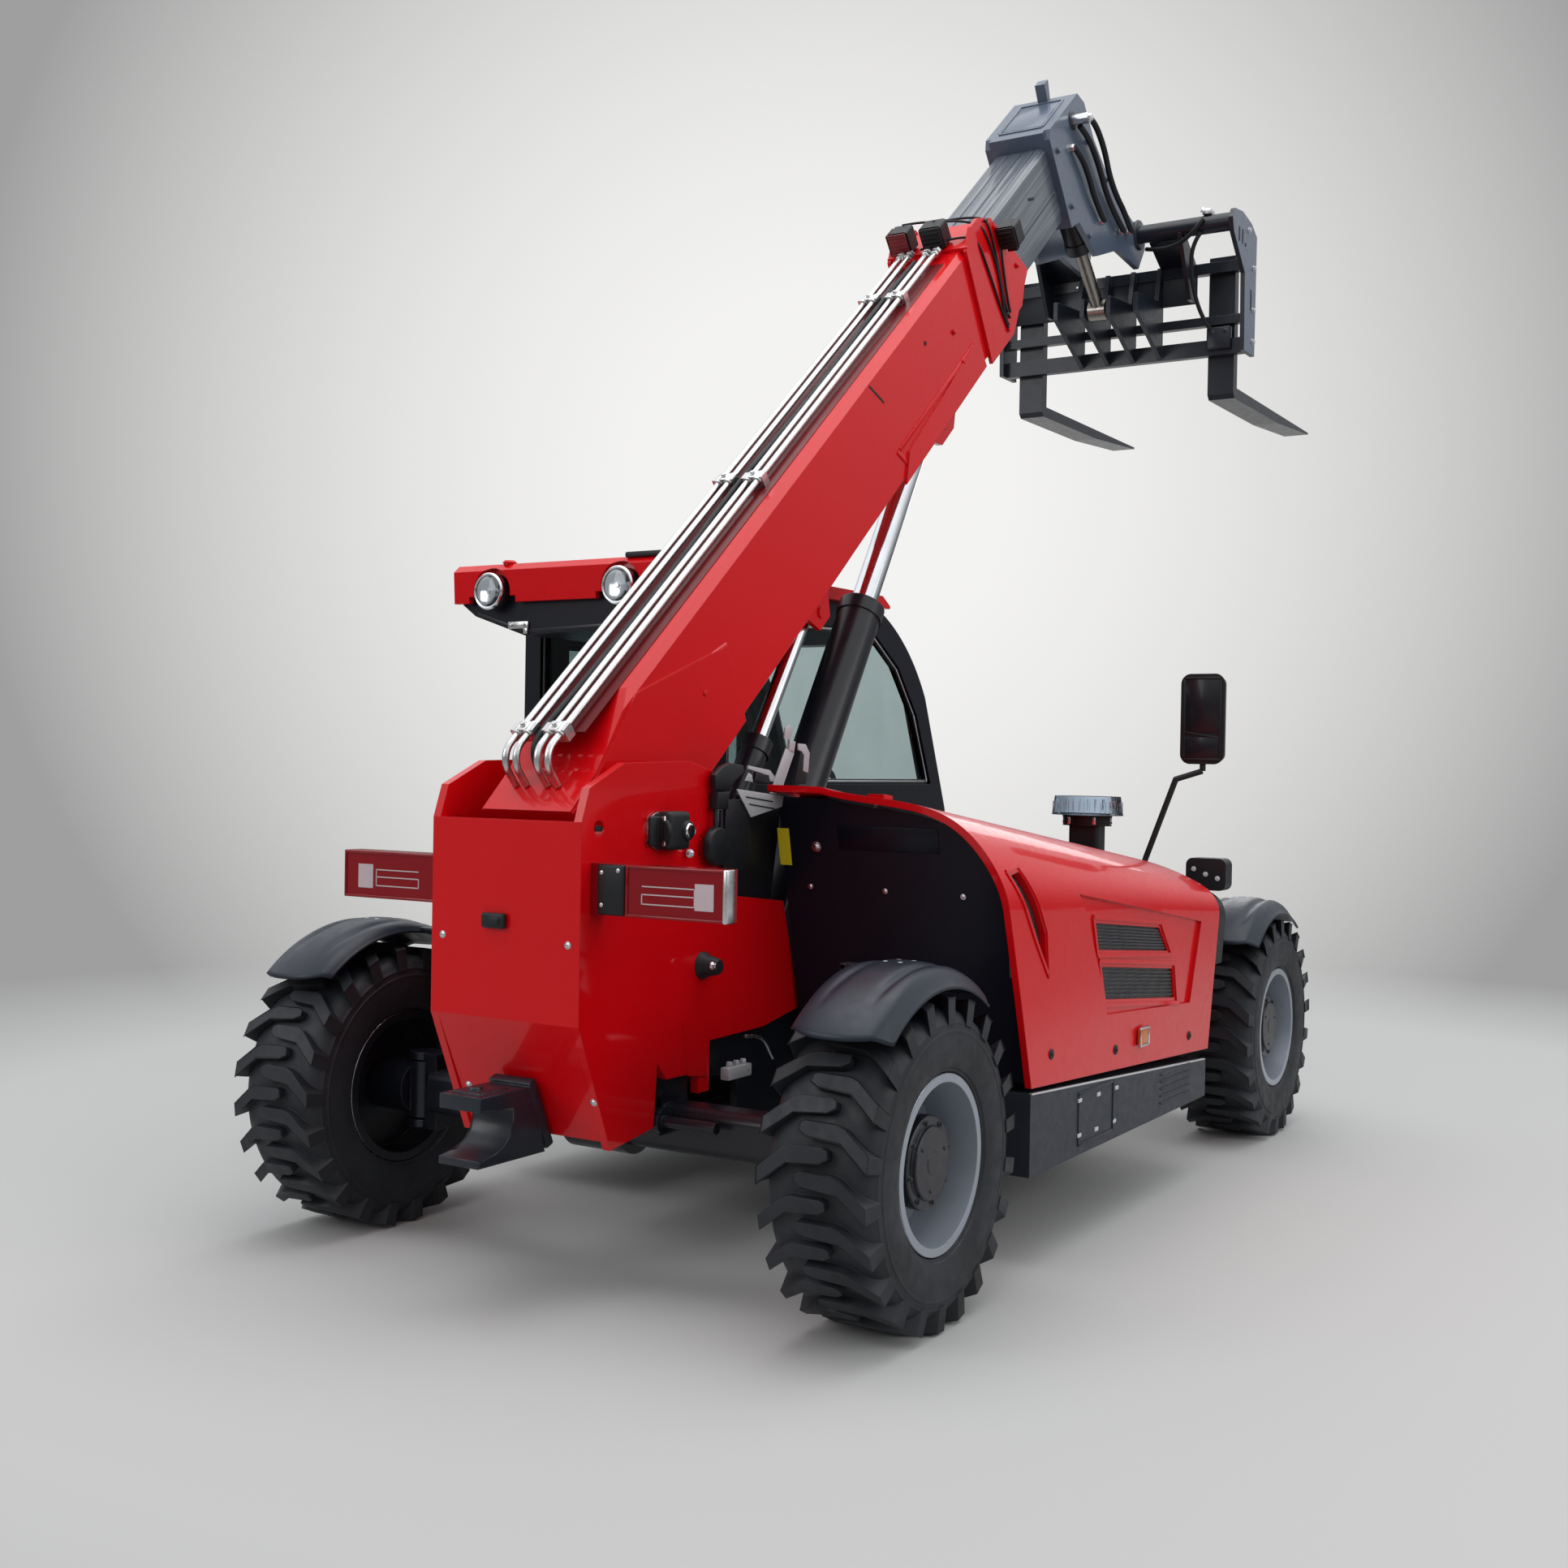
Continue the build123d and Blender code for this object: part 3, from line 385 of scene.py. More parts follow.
def paint(name, colour, roughness, coat=0.0, coat_roughness=0.05, grain=220, grain_depth=0.05,
          worn=0.0, radius=0.004, metallic=0.0, tone=0.07, glint=0.3):
    """Grain is the bump's scale, radius the edges' rounding, glint the specular level."""
    finish, tree, shader, place = start_finish(name)
    cloud = noise(tree, place, 2.4, 4)
    base = blend_colours(tree, remap(tree, cloud, 0.0, 1.0), shade(colour, 1 - tone), shade(colour, 1 + tone))
    normal = rounded(tree, radius)
    fine = noise(tree, place, 34, 5)
    if worn:
        wear = add_node(tree, "Math", operation="MULTIPLY")
        tree.links.new(edge_wear(tree, normal, worn), wear.inputs[0])
        tree.links.new(remap(tree, fine, 0.0, 1.0, 0.42, 0.6), wear.inputs[1])
        base = blend_colours(tree, wear.outputs[0], base, bare_metal)
    tree.links.new(base, shader.inputs["Base Color"])
    tree.links.new(remap(tree, fine, roughness - 0.04, roughness + 0.07), shader.inputs["Roughness"])
    tree.links.new(bump(tree, noise(tree, place, grain, 2), grain_depth, 0.001, normal), shader.inputs["Normal"])
    set_inputs(shader, {"Metallic": metallic, "Specular IOR Level": glint, "Coat Weight": coat,
                        "Coat Roughness": coat_roughness})
    return finish


red_gloss = paint("red_gloss", (0.62, 0.0012, 0.0045), 0.32, 0.5, 0.06, grain=420, grain_depth=0.01,
                  radius=0.005, tone=0.03, glint=0.1)
black_satin = paint("black_satin", (0.0055, 0.0068, 0.0115), 0.36, 0.25, 0.2, worn=0.18)
liner_black = paint("liner_black", (0.0042, 0.0052, 0.0115), 0.42, 0.1, 0.2, radius=0.006, glint=0.18)
slate_paint = paint("slate_paint", (0.072, 0.098, 0.145), 0.34, 0.4, 0.15, worn=0.25)
dark_slate = paint("dark_slate", (0.0095, 0.0135, 0.0215), 0.38, 0.25, 0.2, worn=0.3)
skirt_grey = paint("skirt_grey", (0.021, 0.026, 0.038), 0.42, grain=300, grain_depth=0.12)
rim_silver = paint("rim_silver", (0.30, 0.335, 0.385), 0.33, 0.3, 0.15, worn=0.2, metallic=0.35)
print("paints", len(bpy.data.materials))

# %% Plastic, rubber and glass
fender_plastic = paint("fender_plastic", (0.0125, 0.0185, 0.030), 0.34, grain=420, grain_depth=0.22,
                       radius=0.006)
black_plastic = paint("black_plastic", (0.011, 0.012, 0.014), 0.44, grain=480, grain_depth=0.25, radius=0.003)
lamp_red = paint("lamp_red", (0.23, 0.0025, 0.007), 0.24, 0.4, 0.05, grain=500, grain_depth=0.01,
                 tone=0.04, glint=0.12)
plated = paint("plated", (0.50, 0.51, 0.53), 0.30, 0.2, 0.1, grain=300, grain_depth=0.1, radius=0.001,
               metallic=0.25)
hose_rubber = paint("hose_rubber", (0.010, 0.011, 0.013), 0.5, grain=600, grain_depth=0.2, radius=0.001)
yellow_label = paint("yellow_label", (0.75, 0.62, 0.02), 0.35, 0.4, 0.1, radius=0.001)
pale_label = paint("pale_label", (0.55, 0.57, 0.58), 0.35, 0.2, 0.2, radius=0.001)


def rubber(name, colour):
    finish, tree, shader, place = start_finish(name)
    dust = noise(tree, place, 5.5, 6)
    base = blend_colours(tree, remap(tree, dust, 0.0, 1.0), shade(colour, 0.72), shade(colour, 1.45))
    tree.links.new(base, shader.inputs["Base Color"])
    tree.links.new(remap(tree, noise(tree, place, 26, 4), 0.46, 0.66), shader.inputs["Roughness"])
    grain = noise(tree, place, 340, 4)
    tree.links.new(bump(tree, grain, 0.25, 0.0012, rounded(tree, 0.003)), shader.inputs["Normal"])
    shader.inputs["Specular IOR Level"].default_value = 0.35
    return finish


tyre_rubber = rubber("tyre_rubber", (0.0145, 0.0165, 0.0205))


def clear(name, colour, roughness, ior=1.45):
    """Glass or clear plastic with a slight haze."""
    finish, tree, shader, place = start_finish(name)
    haze = noise(tree, place, 6, 4)
    tree.links.new(blend_colours(tree, remap(tree, haze, 0.0, 1.0), shade(colour, 0.95), shade(colour, 1.04)),
                   shader.inputs["Base Color"])
    tree.links.new(remap(tree, haze, roughness, roughness + 0.03), shader.inputs["Roughness"])
    set_inputs(shader, {"Transmission Weight": 1.0, "IOR": ior})
    return finish


cab_pane = clear("cab_pane", (0.34, 0.43, 0.43), 0.01, 1.25)
clear_lens = clear("clear_lens", (0.86, 0.90, 0.95), 0.03)
print("plastics, rubber and glass done")

# %% Metal
def metal(name, colour, roughness, streak=(1, 1, 1), depth=0.05, scale=60):
    """Bare or plated metal; streak stretches its fine lines along one axis."""
    finish, tree, shader, place = start_finish(name)
    cloud = noise(tree, place, 7, 4)
    tree.links.new(blend_colours(tree, remap(tree, cloud, 0.0, 1.0), shade(colour, 0.9), shade(colour, 1.06)),
                   shader.inputs["Base Color"])
    tree.links.new(remap(tree, noise(tree, place, scale, 4, streak), roughness - 0.03, roughness + 0.08),
                   shader.inputs["Roughness"])
    fine = noise(tree, place, scale * 4, 3, streak)
    tree.links.new(bump(tree, fine, depth, 0.0006, rounded(tree, 0.0015)), shader.inputs["Normal"])
    shader.inputs["Metallic"].default_value = 1.0
    return finish


chrome = metal("chrome", (0.74, 0.76, 0.79), 0.10, (8, 1, 1))
zinc = metal("zinc", (0.62, 0.62, 0.62), 0.26)
bright_steel = metal("bright_steel", (0.70, 0.72, 0.75), 0.2, (1, 1, 6), 0.1)
reflector = metal("reflector", (0.82, 0.84, 0.86), 0.08, depth=0.3, scale=40)


def lens(name, colour, ribs):
    """A moulded lens: ribs across it and a glossy skin."""
    finish, tree, shader, place = start_finish(name)
    wave = add_node(tree, "TexWave", wave_type="BANDS", bands_direction="Z")
    wave.inputs["Scale"].default_value = ribs
    tree.links.new(place.outputs["Object"], wave.inputs["Vector"])
    tree.links.new(blend_colours(tree, wave.outputs["Fac"], shade(colour, 0.75), shade(colour, 1.15)),
                   shader.inputs["Base Color"])
    tree.links.new(remap(tree, noise(tree, place, 12), 0.12, 0.2), shader.inputs["Roughness"])
    tree.links.new(bump(tree, wave.outputs["Fac"], 0.6, 0.0008), shader.inputs["Normal"])
    set_inputs(shader, {"Specular IOR Level": 0.2, "Coat Weight": 0.4, "Coat Roughness": 0.04})
    return finish


amber_lens = lens("amber_lens", (0.62, 0.16, 0.01), 60)


def mesh_panel(name, colour, pitch):
    """Punched sheet behind an opening: dark round holes in rows."""
    finish, tree, shader, place = start_finish(name)
    dots = add_node(tree, "TexVoronoi")
    set_inputs(dots, {"Scale": pitch, "Randomness": 0.0})
    tree.links.new(place.outputs["Object"], dots.inputs["Vector"])
    hole = remap(tree, dots.outputs["Distance"], 0.0, 1.0, 0.34, 0.42)
    tree.links.new(blend_colours(tree, hole, shade(colour, 0.15), colour), shader.inputs["Base Color"])
    tree.links.new(bump(tree, hole, 0.7, 0.002), shader.inputs["Normal"])
    tree.links.new(remap(tree, noise(tree, place, 30), 0.4, 0.55), shader.inputs["Roughness"])
    return finish


grille_mesh = mesh_panel("grille_mesh", (0.030, 0.032, 0.036), 90)
print("finishes", len(bpy.data.materials))

# %% [markdown]
# ## Finish of each solid
# Each CAD solid keeps its shape and only takes a finish here. The list goes from the general to the
# special: what isn't named falls to satin black, as on the real machine, where the frame, the
# axles and the small brackets are all sprayed black.

# %% Dress the solids
finish_by_name = {
    "tail_box": red_gloss, "boom_outer": red_gloss, "bonnet": red_gloss, "cab_roof": red_gloss,
    "boom_inner": slate_paint, "boom_head": slate_paint, "carriage": dark_slate, "fork_left": dark_slate,
    "fork_right": dark_slate, "side_skirt": skirt_grey, "left_tank": skirt_grey, "engine_liner": liner_black,
    "cab_shell": liner_black, "cab_door": liner_black, "roof_visor": liner_black, "front_cowl": black_plastic,
    "cab_glass": cab_pane, "door_glass": cab_pane, "lift_rod": chrome, "comp_rod": chrome, "tilt_rod": chrome,
    "nose_pin": bright_steel, "pivot_pin": bright_steel, "bonnet_hinge": bright_steel, "hose_pipes": zinc,
    "bonnet_grilles": grille_mesh, "steering_console": black_plastic, "seat": black_plastic,
    "right_mirror": black_plastic, "beacon": black_plastic, "head_lamps": black_plastic,
    "rear_lamps": lamp_red, "work_lamps": black_plastic, "boom_lamps": black_plastic,
}
finish_by_start = {"tyre_": tyre_rubber, "rim_": rim_silver, "fender_": fender_plastic}


def dress(name, finish):
    """Give a solid one finish."""
    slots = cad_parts[name].data.materials
    slots.clear()
    slots.append(finish)


def repaint(name, finish, picks):
    """Give a second finish to the faces that a test picks."""
    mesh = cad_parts[name].data
    mesh.materials.append(finish)
    for face in mesh.polygons:
        if picks(face):
            face.material_index = 1


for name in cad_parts:
    by_start = [finish for start, finish in finish_by_start.items() if name.startswith(start)]
    dress(name, by_start[0] if by_start else finish_by_name.get(name, black_satin))
print("dressed", len(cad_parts))

# %% [markdown]
# ## Studio
# The photograph has a pale floor that runs into a pale backdrop, lighter in the middle. A modelled
# sweep would stand in the way of the other views, so the floor is one wide disc and the backdrop is
# the world. Rays from the camera and through glass see the backdrop's own grey, glossy paint mirrors a
# sky that is dark low down and bright above, and soft panels and an even grey sky light the rest.

# %% Floor and backdrop
glow_axis = (forward + right * 0.02 + up * 0.17).normalized()


def backdrop_colour(tree, direction):
    """Grey that grows pale towards the middle of the backdrop."""
    unit = add_node(tree, "VectorMath", operation="NORMALIZE")
    tree.links.new(direction, unit.inputs[0])
    facing_it = add_node(tree, "VectorMath", operation="DOT_PRODUCT")
    facing_it.inputs[1].default_value = glow_axis
    tree.links.new(unit.outputs["Vector"], facing_it.inputs[0])
    glow = remap(tree, facing_it.outputs["Value"], 0.0, 1.0, 0.90, 0.995)
    return blend_colours(tree, glow, (0.345, 0.345, 0.345), (0.90, 0.895, 0.885))


def studio_floor():
    """A wide disc whose far part fades into the backdrop's own grey."""
    form = bmesh.new()
    bmesh.ops.create_circle(form, cap_ends=True, segments=96, radius=90)
    mesh = bpy.data.meshes.new("studio_floor")
    form.to_mesh(mesh)
    form.free()
    floor = link_object("studio_floor", mesh)
    finish, tree, shader, place = start_finish("studio_floor")
    set_inputs(shader, {"Base Color": (0.52, 0.52, 0.515, 1), "Roughness": 0.9, "Specular IOR Level": 0.0})
    far = add_node(tree, "Emission")
    toward = add_node(tree, "VectorMath", operation="SUBTRACT")
    toward.inputs[1].default_value = eye
    tree.links.new(place.outputs["Object"], toward.inputs[0])
    tree.links.new(backdrop_colour(tree, toward.outputs["Vector"]), far.inputs["Color"])
    length = add_node(tree, "VectorMath", operation="LENGTH")
    tree.links.new(place.outputs["Object"], length.inputs[0])
    fade = remap(tree, length.outputs["Value"], 0.0, 1.0, 4.0, 6.8)
    mix = add_node(tree, "MixShader")
    tree.links.new(fade, mix.inputs["Fac"])
    tree.links.new(shader.outputs["BSDF"], mix.inputs[1])
    tree.links.new(far.outputs["Emission"], mix.inputs[2])
    tree.links.new(mix.outputs["Shader"], tree.nodes["Material Output"].inputs["Surface"])
    mesh.materials.append(finish)
    floor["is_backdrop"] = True


studio_floor()
world = bpy.data.worlds.new("studio")
bpy.context.scene.world = world
world.use_nodes = True
sky = world.node_tree
backdrop = sky.nodes["Background"]
light_path = add_node(sky, "LightPath")
seen = add_node(sky, "Math", operation="MAXIMUM")
sky.links.new(light_path.outputs["Is Camera Ray"], seen.inputs[0])
sky.links.new(light_path.outputs["Is Transmission Ray"], seen.inputs[1])
direction = add_node(sky, "TexCoord")
split = add_node(sky, "SeparateXYZ")
sky.links.new(direction.outputs["Generated"], split.inputs["Vector"])
height = remap(sky, split.outputs["Z"], 0.0, 1.0, 0.02, 0.55)
seen_colour = backdrop_colour(sky, direction.outputs["Generated"])
lit_colour = blend_colours(sky, height, (0.30, 0.305, 0.32), (0.78, 0.79, 0.81))
gloss_colour = blend_colours(sky, height, (0.085, 0.088, 0.095), (1.15, 1.17, 1.2))
off_object = blend_colours(sky, light_path.outputs["Is Glossy Ray"], lit_colour, gloss_colour)
sky.links.new(blend_colours(sky, seen.outputs[0], off_object, seen_colour), backdrop.inputs["Color"])
print("studio ready")

# %% Lights
def soft_panel(name, place, aim, size, power):
    data = bpy.data.lights.new(name, "AREA")
    data.shape = "RECTANGLE"
    data.size, data.size_y = size
    data.energy = power
    lamp = link_object(name, data)
    lamp.location = place
    lamp.rotation_euler = (Vector(aim) - Vector(place)).to_track_quat("-Z", "Y").to_euler()


soft_panel("overhead", (-0.8, -0.6, 8.2), (-0.2, 0, 0), (8, 6), 300)
soft_panel("right_side", (-0.5, -8.5, 4.2), (-0.3, 0, 1.0), (8, 3.2), 150)
soft_panel("rear_left", (-9.5, 4.5, 4.8), (-1.6, 0, 1.2), (4, 4), 150)
soft_panel("front", (8.0, 3.0, 5.0), (0.5, 0, 1.6), (5, 4), 110)

# %% [markdown]
# ## Places found by sight
# A small fitting in the photograph is a point on a picture. The same camera can throw a ray through
# that point and see which solid it meets, and where, and which way the surface faces there. The
# fitting then stands on that surface, so it looks right from every side and not only from the front.

# %% Sight lines
node_trees = {}


def tree_of(node):
    """The solid's search tree, built once."""
    if node not in node_trees:
        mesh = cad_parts[node].data
        node_trees[node] = BVHTree.FromPolygons([v.co.copy() for v in mesh.vertices],
                                                [tuple(p.vertices) for p in mesh.polygons])
    return node_trees[node]


def pixel_ray(px, py):
    """The direction in which the camera sees a pixel of the photograph."""
    return (forward * photo_focal + right * (px - photo_side / 2) - up * (py - photo_side / 2)).normalized()


def sight(px, py, node):
    """Point and outward normal where the line through a photograph's pixel meets a solid."""
    ray = pixel_ray(px, py)
    point, normal = tree_of(node).ray_cast(eye, ray)[:2]
    if point is None:
        raise ValueError(f"the line through {px}, {py} misses {node}")
    if normal.dot(ray) > 0:
        normal = -normal
    return point, normal


def seat(px, py, node):
    """A frame standing on the solid at that pixel."""
    return facing(*sight(px, py, node))


def on_side(px, py, y):
    """Where the line through a pixel reaches a side plane."""
    ray = pixel_ray(px, py)
    return eye + ray * ((y - eye.y) / ray.y)


def on_tail(px, py, x):
    """Where the line through a pixel reaches a plane across the machine."""
    ray = pixel_ray(px, py)
    return eye + ray * ((x - eye.x) / ray.x)


print("tail bolt stands at", [round(v, 3) for v in sight(545, 1150, "tail_box")[0]])

# %% [markdown]
# ## Tyres
# A loader tyre has a smooth, bulging side, a rim bead that sits in the rim's flange, and two rows of deep
# bent lugs that interlock past the middle. The CAD tyre keeps only the rough form. Here the carcass
# is one spun profile, and one lug is a flat outline that is extruded, bevelled and wrapped onto the
# wheel, then turned round it. The finished left tyre is mirrored for the right side, so that every lug
# still points the same way round.

# %% Tyre carcass and lugs
half_base = 1.46
wheel_spots = {
    "front_left": (half_base, 1), "front_right": (half_base, -1),
    "rear_left": (-half_base, 1), "rear_right": (-half_base, -1),
}
axle_height = 0.4225
wheel_out = 0.908
lug_count = 22
tread_top = 0.4224
groove = 0.397
lug_reach = 0.1535


def add_carcass(form):
    """The side's bead, wall and shoulder as (radius, half width) points, mirrored to the other side."""
    half = [(0.216, 0.122), (0.229, 0.127), (0.234, 0.138), (0.240, 0.1385), (0.243, 0.1435), (0.252, 0.1465),
            (0.268, 0.1505), (0.290, 0.1525), (0.312, 0.1530), (0.330, 0.1520), (0.3315, 0.1532), (0.3375, 0.1530),
            (0.339, 0.1512), (0.352, 0.1490), (0.3535, 0.1502), (0.3575, 0.1496), (0.359, 0.1475), (0.368, 0.1430),
            (0.378, 0.1350), (0.387, 0.1220), (0.3925, 0.1030), (0.3955, 0.0700), (groove, 0.0350)]
    profile = half + [(groove + 0.0005, 0.0)] + [(r, -y) for r, y in reversed(half)]
    return add_spun(form, Matrix.Rotation(-math.pi / 2, 4, "X"), profile, 132)


lug_outline = ((lug_reach, -0.070), (0.070, -0.004), (-0.022, 0.004), (-0.043, 0.017), (-0.040, 0.036),
               (-0.028, 0.041), (0.058, 0.040), (0.080, 0.031), (lug_reach, -0.027))


def add_lug(form, hand, turn):
    """One lug: hand is the side of its shoulder, turn its angle round the wheel."""
    rim_of_lug = [form.verts.new((across * hand, along, 0)) for across, along in lug_outline]
    base = form.faces.new(rim_of_lug if hand > 0 else list(reversed(rim_of_lug)))
    raised = bmesh.ops.extrude_face_region(form, geom=[base])["geom"]
    top = [v for v in raised if isinstance(v, bmesh.types.BMVert)]
    bmesh.ops.translate(form, vec=(0, 0, 1), verts=top)
    centre = sum((v.co for v in top), Vector()) / len(top)
    for vert in top:
        vert.co.y += (centre.y - vert.co.y) * 0.06
    crest = [e for e in {e for v in top for e in v.link_edges} if all(v in top for v in e.verts)]
    for vert in rim_of_lug + top:
        shoulder = abs(vert.co.x) / lug_reach
        low_radius = 0.352 + 0.030 * (1 - shoulder) if abs(vert.co.x) > 0.10 else 0.386
        high_radius = tread_top - 0.0045 * shoulder ** 2
        radius = high_radius if vert.co.z > 0.5 else low_radius
        x_side = min(abs(vert.co.x), 0.1533 if vert.co.z < 0.5 else 0.1490)
        angle = turn + vert.co.y / tread_top
        vert.co = Vector((-math.cos(angle) * radius, math.copysign(x_side, vert.co.x), math.sin(angle) * radius))
    bevel_edges(form, crest, 0.0028, 2)


def make_tyre():
    form = bmesh.new()
    add_carcass(form)
    step = 2 * math.pi / lug_count
    for index in range(lug_count):
        add_lug(form, 1, index * step)
        add_lug(form, -1, (index + 0.5) * step)
    return form


def limit_height(form):
    """Keep every lug corner on or inside the tyre's outer circle."""
    for vert in form.verts:
        radius = math.hypot(vert.co.x, vert.co.z)
        if radius > tread_top:
            vert.co.x *= tread_top / radius
            vert.co.z *= tread_top / radius


for spot, (x, side) in wheel_spots.items():
    form = make_tyre()
    limit_height(form)
    if side < 0:
        bmesh.ops.scale(form, vec=(1, -1, 1), verts=form.verts)
    tyre = finish_piece("tread_" + spot, form, "wheel_" + spot, tyre_rubber, 28,
                        place_at(x, side * wheel_out, axle_height))
    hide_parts("tyre_" + spot)

# %% [markdown]
# ## Rims and hubs
# Each rim is a silver pressed wheel with a rolled bright lip, a deep smooth well, and a disc far inside.
# A black planetary hub stands out of the disc almost to the lip, with a ring of bolts and a flat cover.
# Both are round, so they are spun from profiles, and each bolt is a small bevelled hexagon. The CAD
# rim stays silver outside, and its faces inboard of the disc are painted black: painted shade inside the wheel.

# %% Rims and hubs
disc_depth = 0.031
bolt_circle = 0.1055
lip_profile = [(0.2155, 0.112), (0.2165, 0.128), (0.2185, 0.1335), (0.2225, 0.1362), (0.2265, 0.1366),
               (0.2292, 0.1340), (0.2296, 0.1300), (0.2290, 0.1260), (0.2240, 0.1250), (0.2190, 0.1200)]
well_profile = [(0.2157, 0.126), (0.2120, 0.1200), (0.2065, 0.112), (0.2040, 0.098), (0.2045, 0.074), (0.2035, 0.058),
                (0.1985, 0.040), (0.1955, 0.016), (0.1925, -0.008), (0.1850, -0.020), (0.1740, -0.0225),
                (0.1500, -0.019), (0.1250, -0.0205), (0.1080, -0.024), (0.0800, -0.024)]
hub_profile = [(0.1130, -0.0235), (0.1130, 0.0600), (0.1185, 0.0660), (0.1200, 0.0900), (0.1185, 0.0975),
               (0.1150, 0.1000), (0.0955, 0.1005), (0.0935, 0.1040), (0.0925, 0.1090), (0.0895, 0.1115),
               (0.0300, 0.1120), (0.0280, 0.1135), (0.0, 0.1135)]
lip_steel = metal("lip_steel", (0.66, 0.69, 0.73), 0.22)


def wheel_place(x, side):
    """The wheel's own frame: Z runs outward along the axle."""
    return place_at(x, side * wheel_out, axle_height) @ Matrix.Rotation(-side * math.pi / 2, 4, "X")


for spot, (x, side) in wheel_spots.items():
    place = wheel_place(x, side)
    # Satin black on the rim's faces inboard of the disc is painted shade behind the disc.
    repaint("rim_" + spot, black_satin, lambda face: abs(face.center.y) < wheel_out - disc_depth)
    for label, mirrored in (("rim_lip_", 1), ("rim_inner_lip_", -1)):
        form = bmesh.new()
        add_spun(form, Matrix(), [(r, mirrored * h) for r, h in lip_profile], 96, closed=True)
        finish_piece(label + spot, form, "wheel_" + spot, lip_steel, 50, place)
    form = bmesh.new()
    add_spun(form, Matrix(), well_profile + [(0.0800, -0.027), (0.1740, -0.027), (0.2020, 0.020), (0.2157, 0.110)],
             96, closed=True)
    finish_piece("rim_well_" + spot, form, "wheel_" + spot, rim_silver, 35, place)
    form = bmesh.new()
    add_spun(form, Matrix(), hub_profile, 72)
    for index in range(8):
        spin = Matrix.Rotation(index * math.pi / 4 + 0.2, 4, "Z")
        add_drum(form, offset(spin, bolt_circle, 0, 0.1000), 0.0085, 0.0022, segments=24)
        add_drum(form, offset(spin, bolt_circle, 0, 0.1015), 0.0062, 0.0055, 0.0058, 6, 0.0008)
    for index in range(3):
        spin = Matrix.Rotation(index * 2 * math.pi / 3 + 0.4, 4, "Z")
        add_drum(form, offset(spin, 0.0700, 0, 0.1110), 0.0048, 0.0035, segments=12, bevel=0.0008)
    finish_piece("hub_" + spot, form, "wheel_" + spot, black_satin, 30, place)
    form = bmesh.new()
    stem = Matrix.Translation((0.172, 0.055, -0.020))
    add_drum(form, stem, 0.0075, 0.012, 0.006, 16, 0.001)
    add_drum(form, offset(stem, 0, 0, 0.012), 0.0042, 0.024, segments=12, bevel=0.0006)
    finish_piece("valve_" + spot, form, "wheel_" + spot, zinc, 30, place)

# %% [markdown]
# ## Fenders
# The mudguards are moulded: a high crown with two long tapering dents, a turned-down outer skirt, and
# rounded ends. A flat grid of points spun round the axle gives the crown, the dents are pushed in where
# a smooth window says so, and Solidify gives the wall. White plastic bolt caps stand in pairs on top.

# %% Fenders
fender_start = 52.0
fender_spread = 84.0


def smooth_step(value, start, stop):
    """0 before start, 1 after stop, and a soft change between."""
    share = max(0.0, min(1.0, (value - start) / (stop - start)))
    return share * share * (3 - 2 * share)


def fender_radius(across, along):
    """Radius of the fender's outside: across is millimetres outward, along runs from 0 at the back to 1."""
    crown = 502 - 18 * (abs(across) / 122) ** 2.4
    if across > 112:
        crown -= 29 * smooth_step(across, 108, 150)
    if across < -112:
        crown -= 15 * smooth_step(-across, 108, 128)
    window = smooth_step(along, 0.10, 0.42) * smooth_step(-along, -0.97, -0.70)
    inner_dent = math.exp(-((across + 62) / 12) ** 2)
    outer_dent = math.exp(-((across - 70) / 11) ** 2)
    ridge = math.exp(-((across - 96) / 13) ** 2)
    return min(502.0, crown - window * (11 * inner_dent + 12 * outer_dent) + 2.5 * ridge * window)


def make_fender(x, side, spot):
    form = bmesh.new()
    across_steps = [-128, -125, -119, -108, -94, -82, -74, -68, -62, -56, -50, -42, -30, -14, 4, 22, 38, 48,
                    56, 62, 68, 74, 80, 87, 96, 104, 112, 120, 128, 136, 144, 150]
    points = [form.verts.new((a / 1000, 0, 0.5)) for a in across_steps]
    edges = [form.edges.new(pair) for pair in zip(points, points[1:])]
    bmesh.ops.spin(form, geom=points + edges, cent=(0, 0, 0), axis=(1, 0, 0),
                   angle=math.radians(-fender_spread), steps=40, use_merge=False, use_duplicate=False)
    for vert in form.verts:
        along = math.atan2(vert.co.y, vert.co.z) / math.radians(fender_spread)
        across = vert.co.x * 1000
        pull = abs(across - 10) / 140
        share = 0.5 + (along - 0.5) * (1 - 0.13 * pull ** 2.6)
        radius = fender_radius(across, share) / 1000
        angle = math.radians(fender_start + fender_spread * (1 - share) - 90)
        vert.co = Vector((math.sin(-angle) * radius, side * vert.co.x, math.cos(angle) * radius))
    shift = place_at(x, side * wheel_out, axle_height)
    shell = finish_piece("mudguard_" + spot, form, "knuckle_" + spot, fender_plastic, 60, shift)
    wall = shell.modifiers.new("wall", "SOLIDIFY")
    wall.thickness = 0.006
    wall.offset = -1.0
    return shell


def check_outward(shell, x, side):
    """The crown's faces should look away from the axle."""
    centre = at(x, side * wheel_out, axle_height)
    outward = sum((p.normal.dot(p.center - centre) > 0) for p in shell.data.polygons)
    if outward < len(shell.data.polygons) / 2:
        shell.data.flip_normals()
    return outward


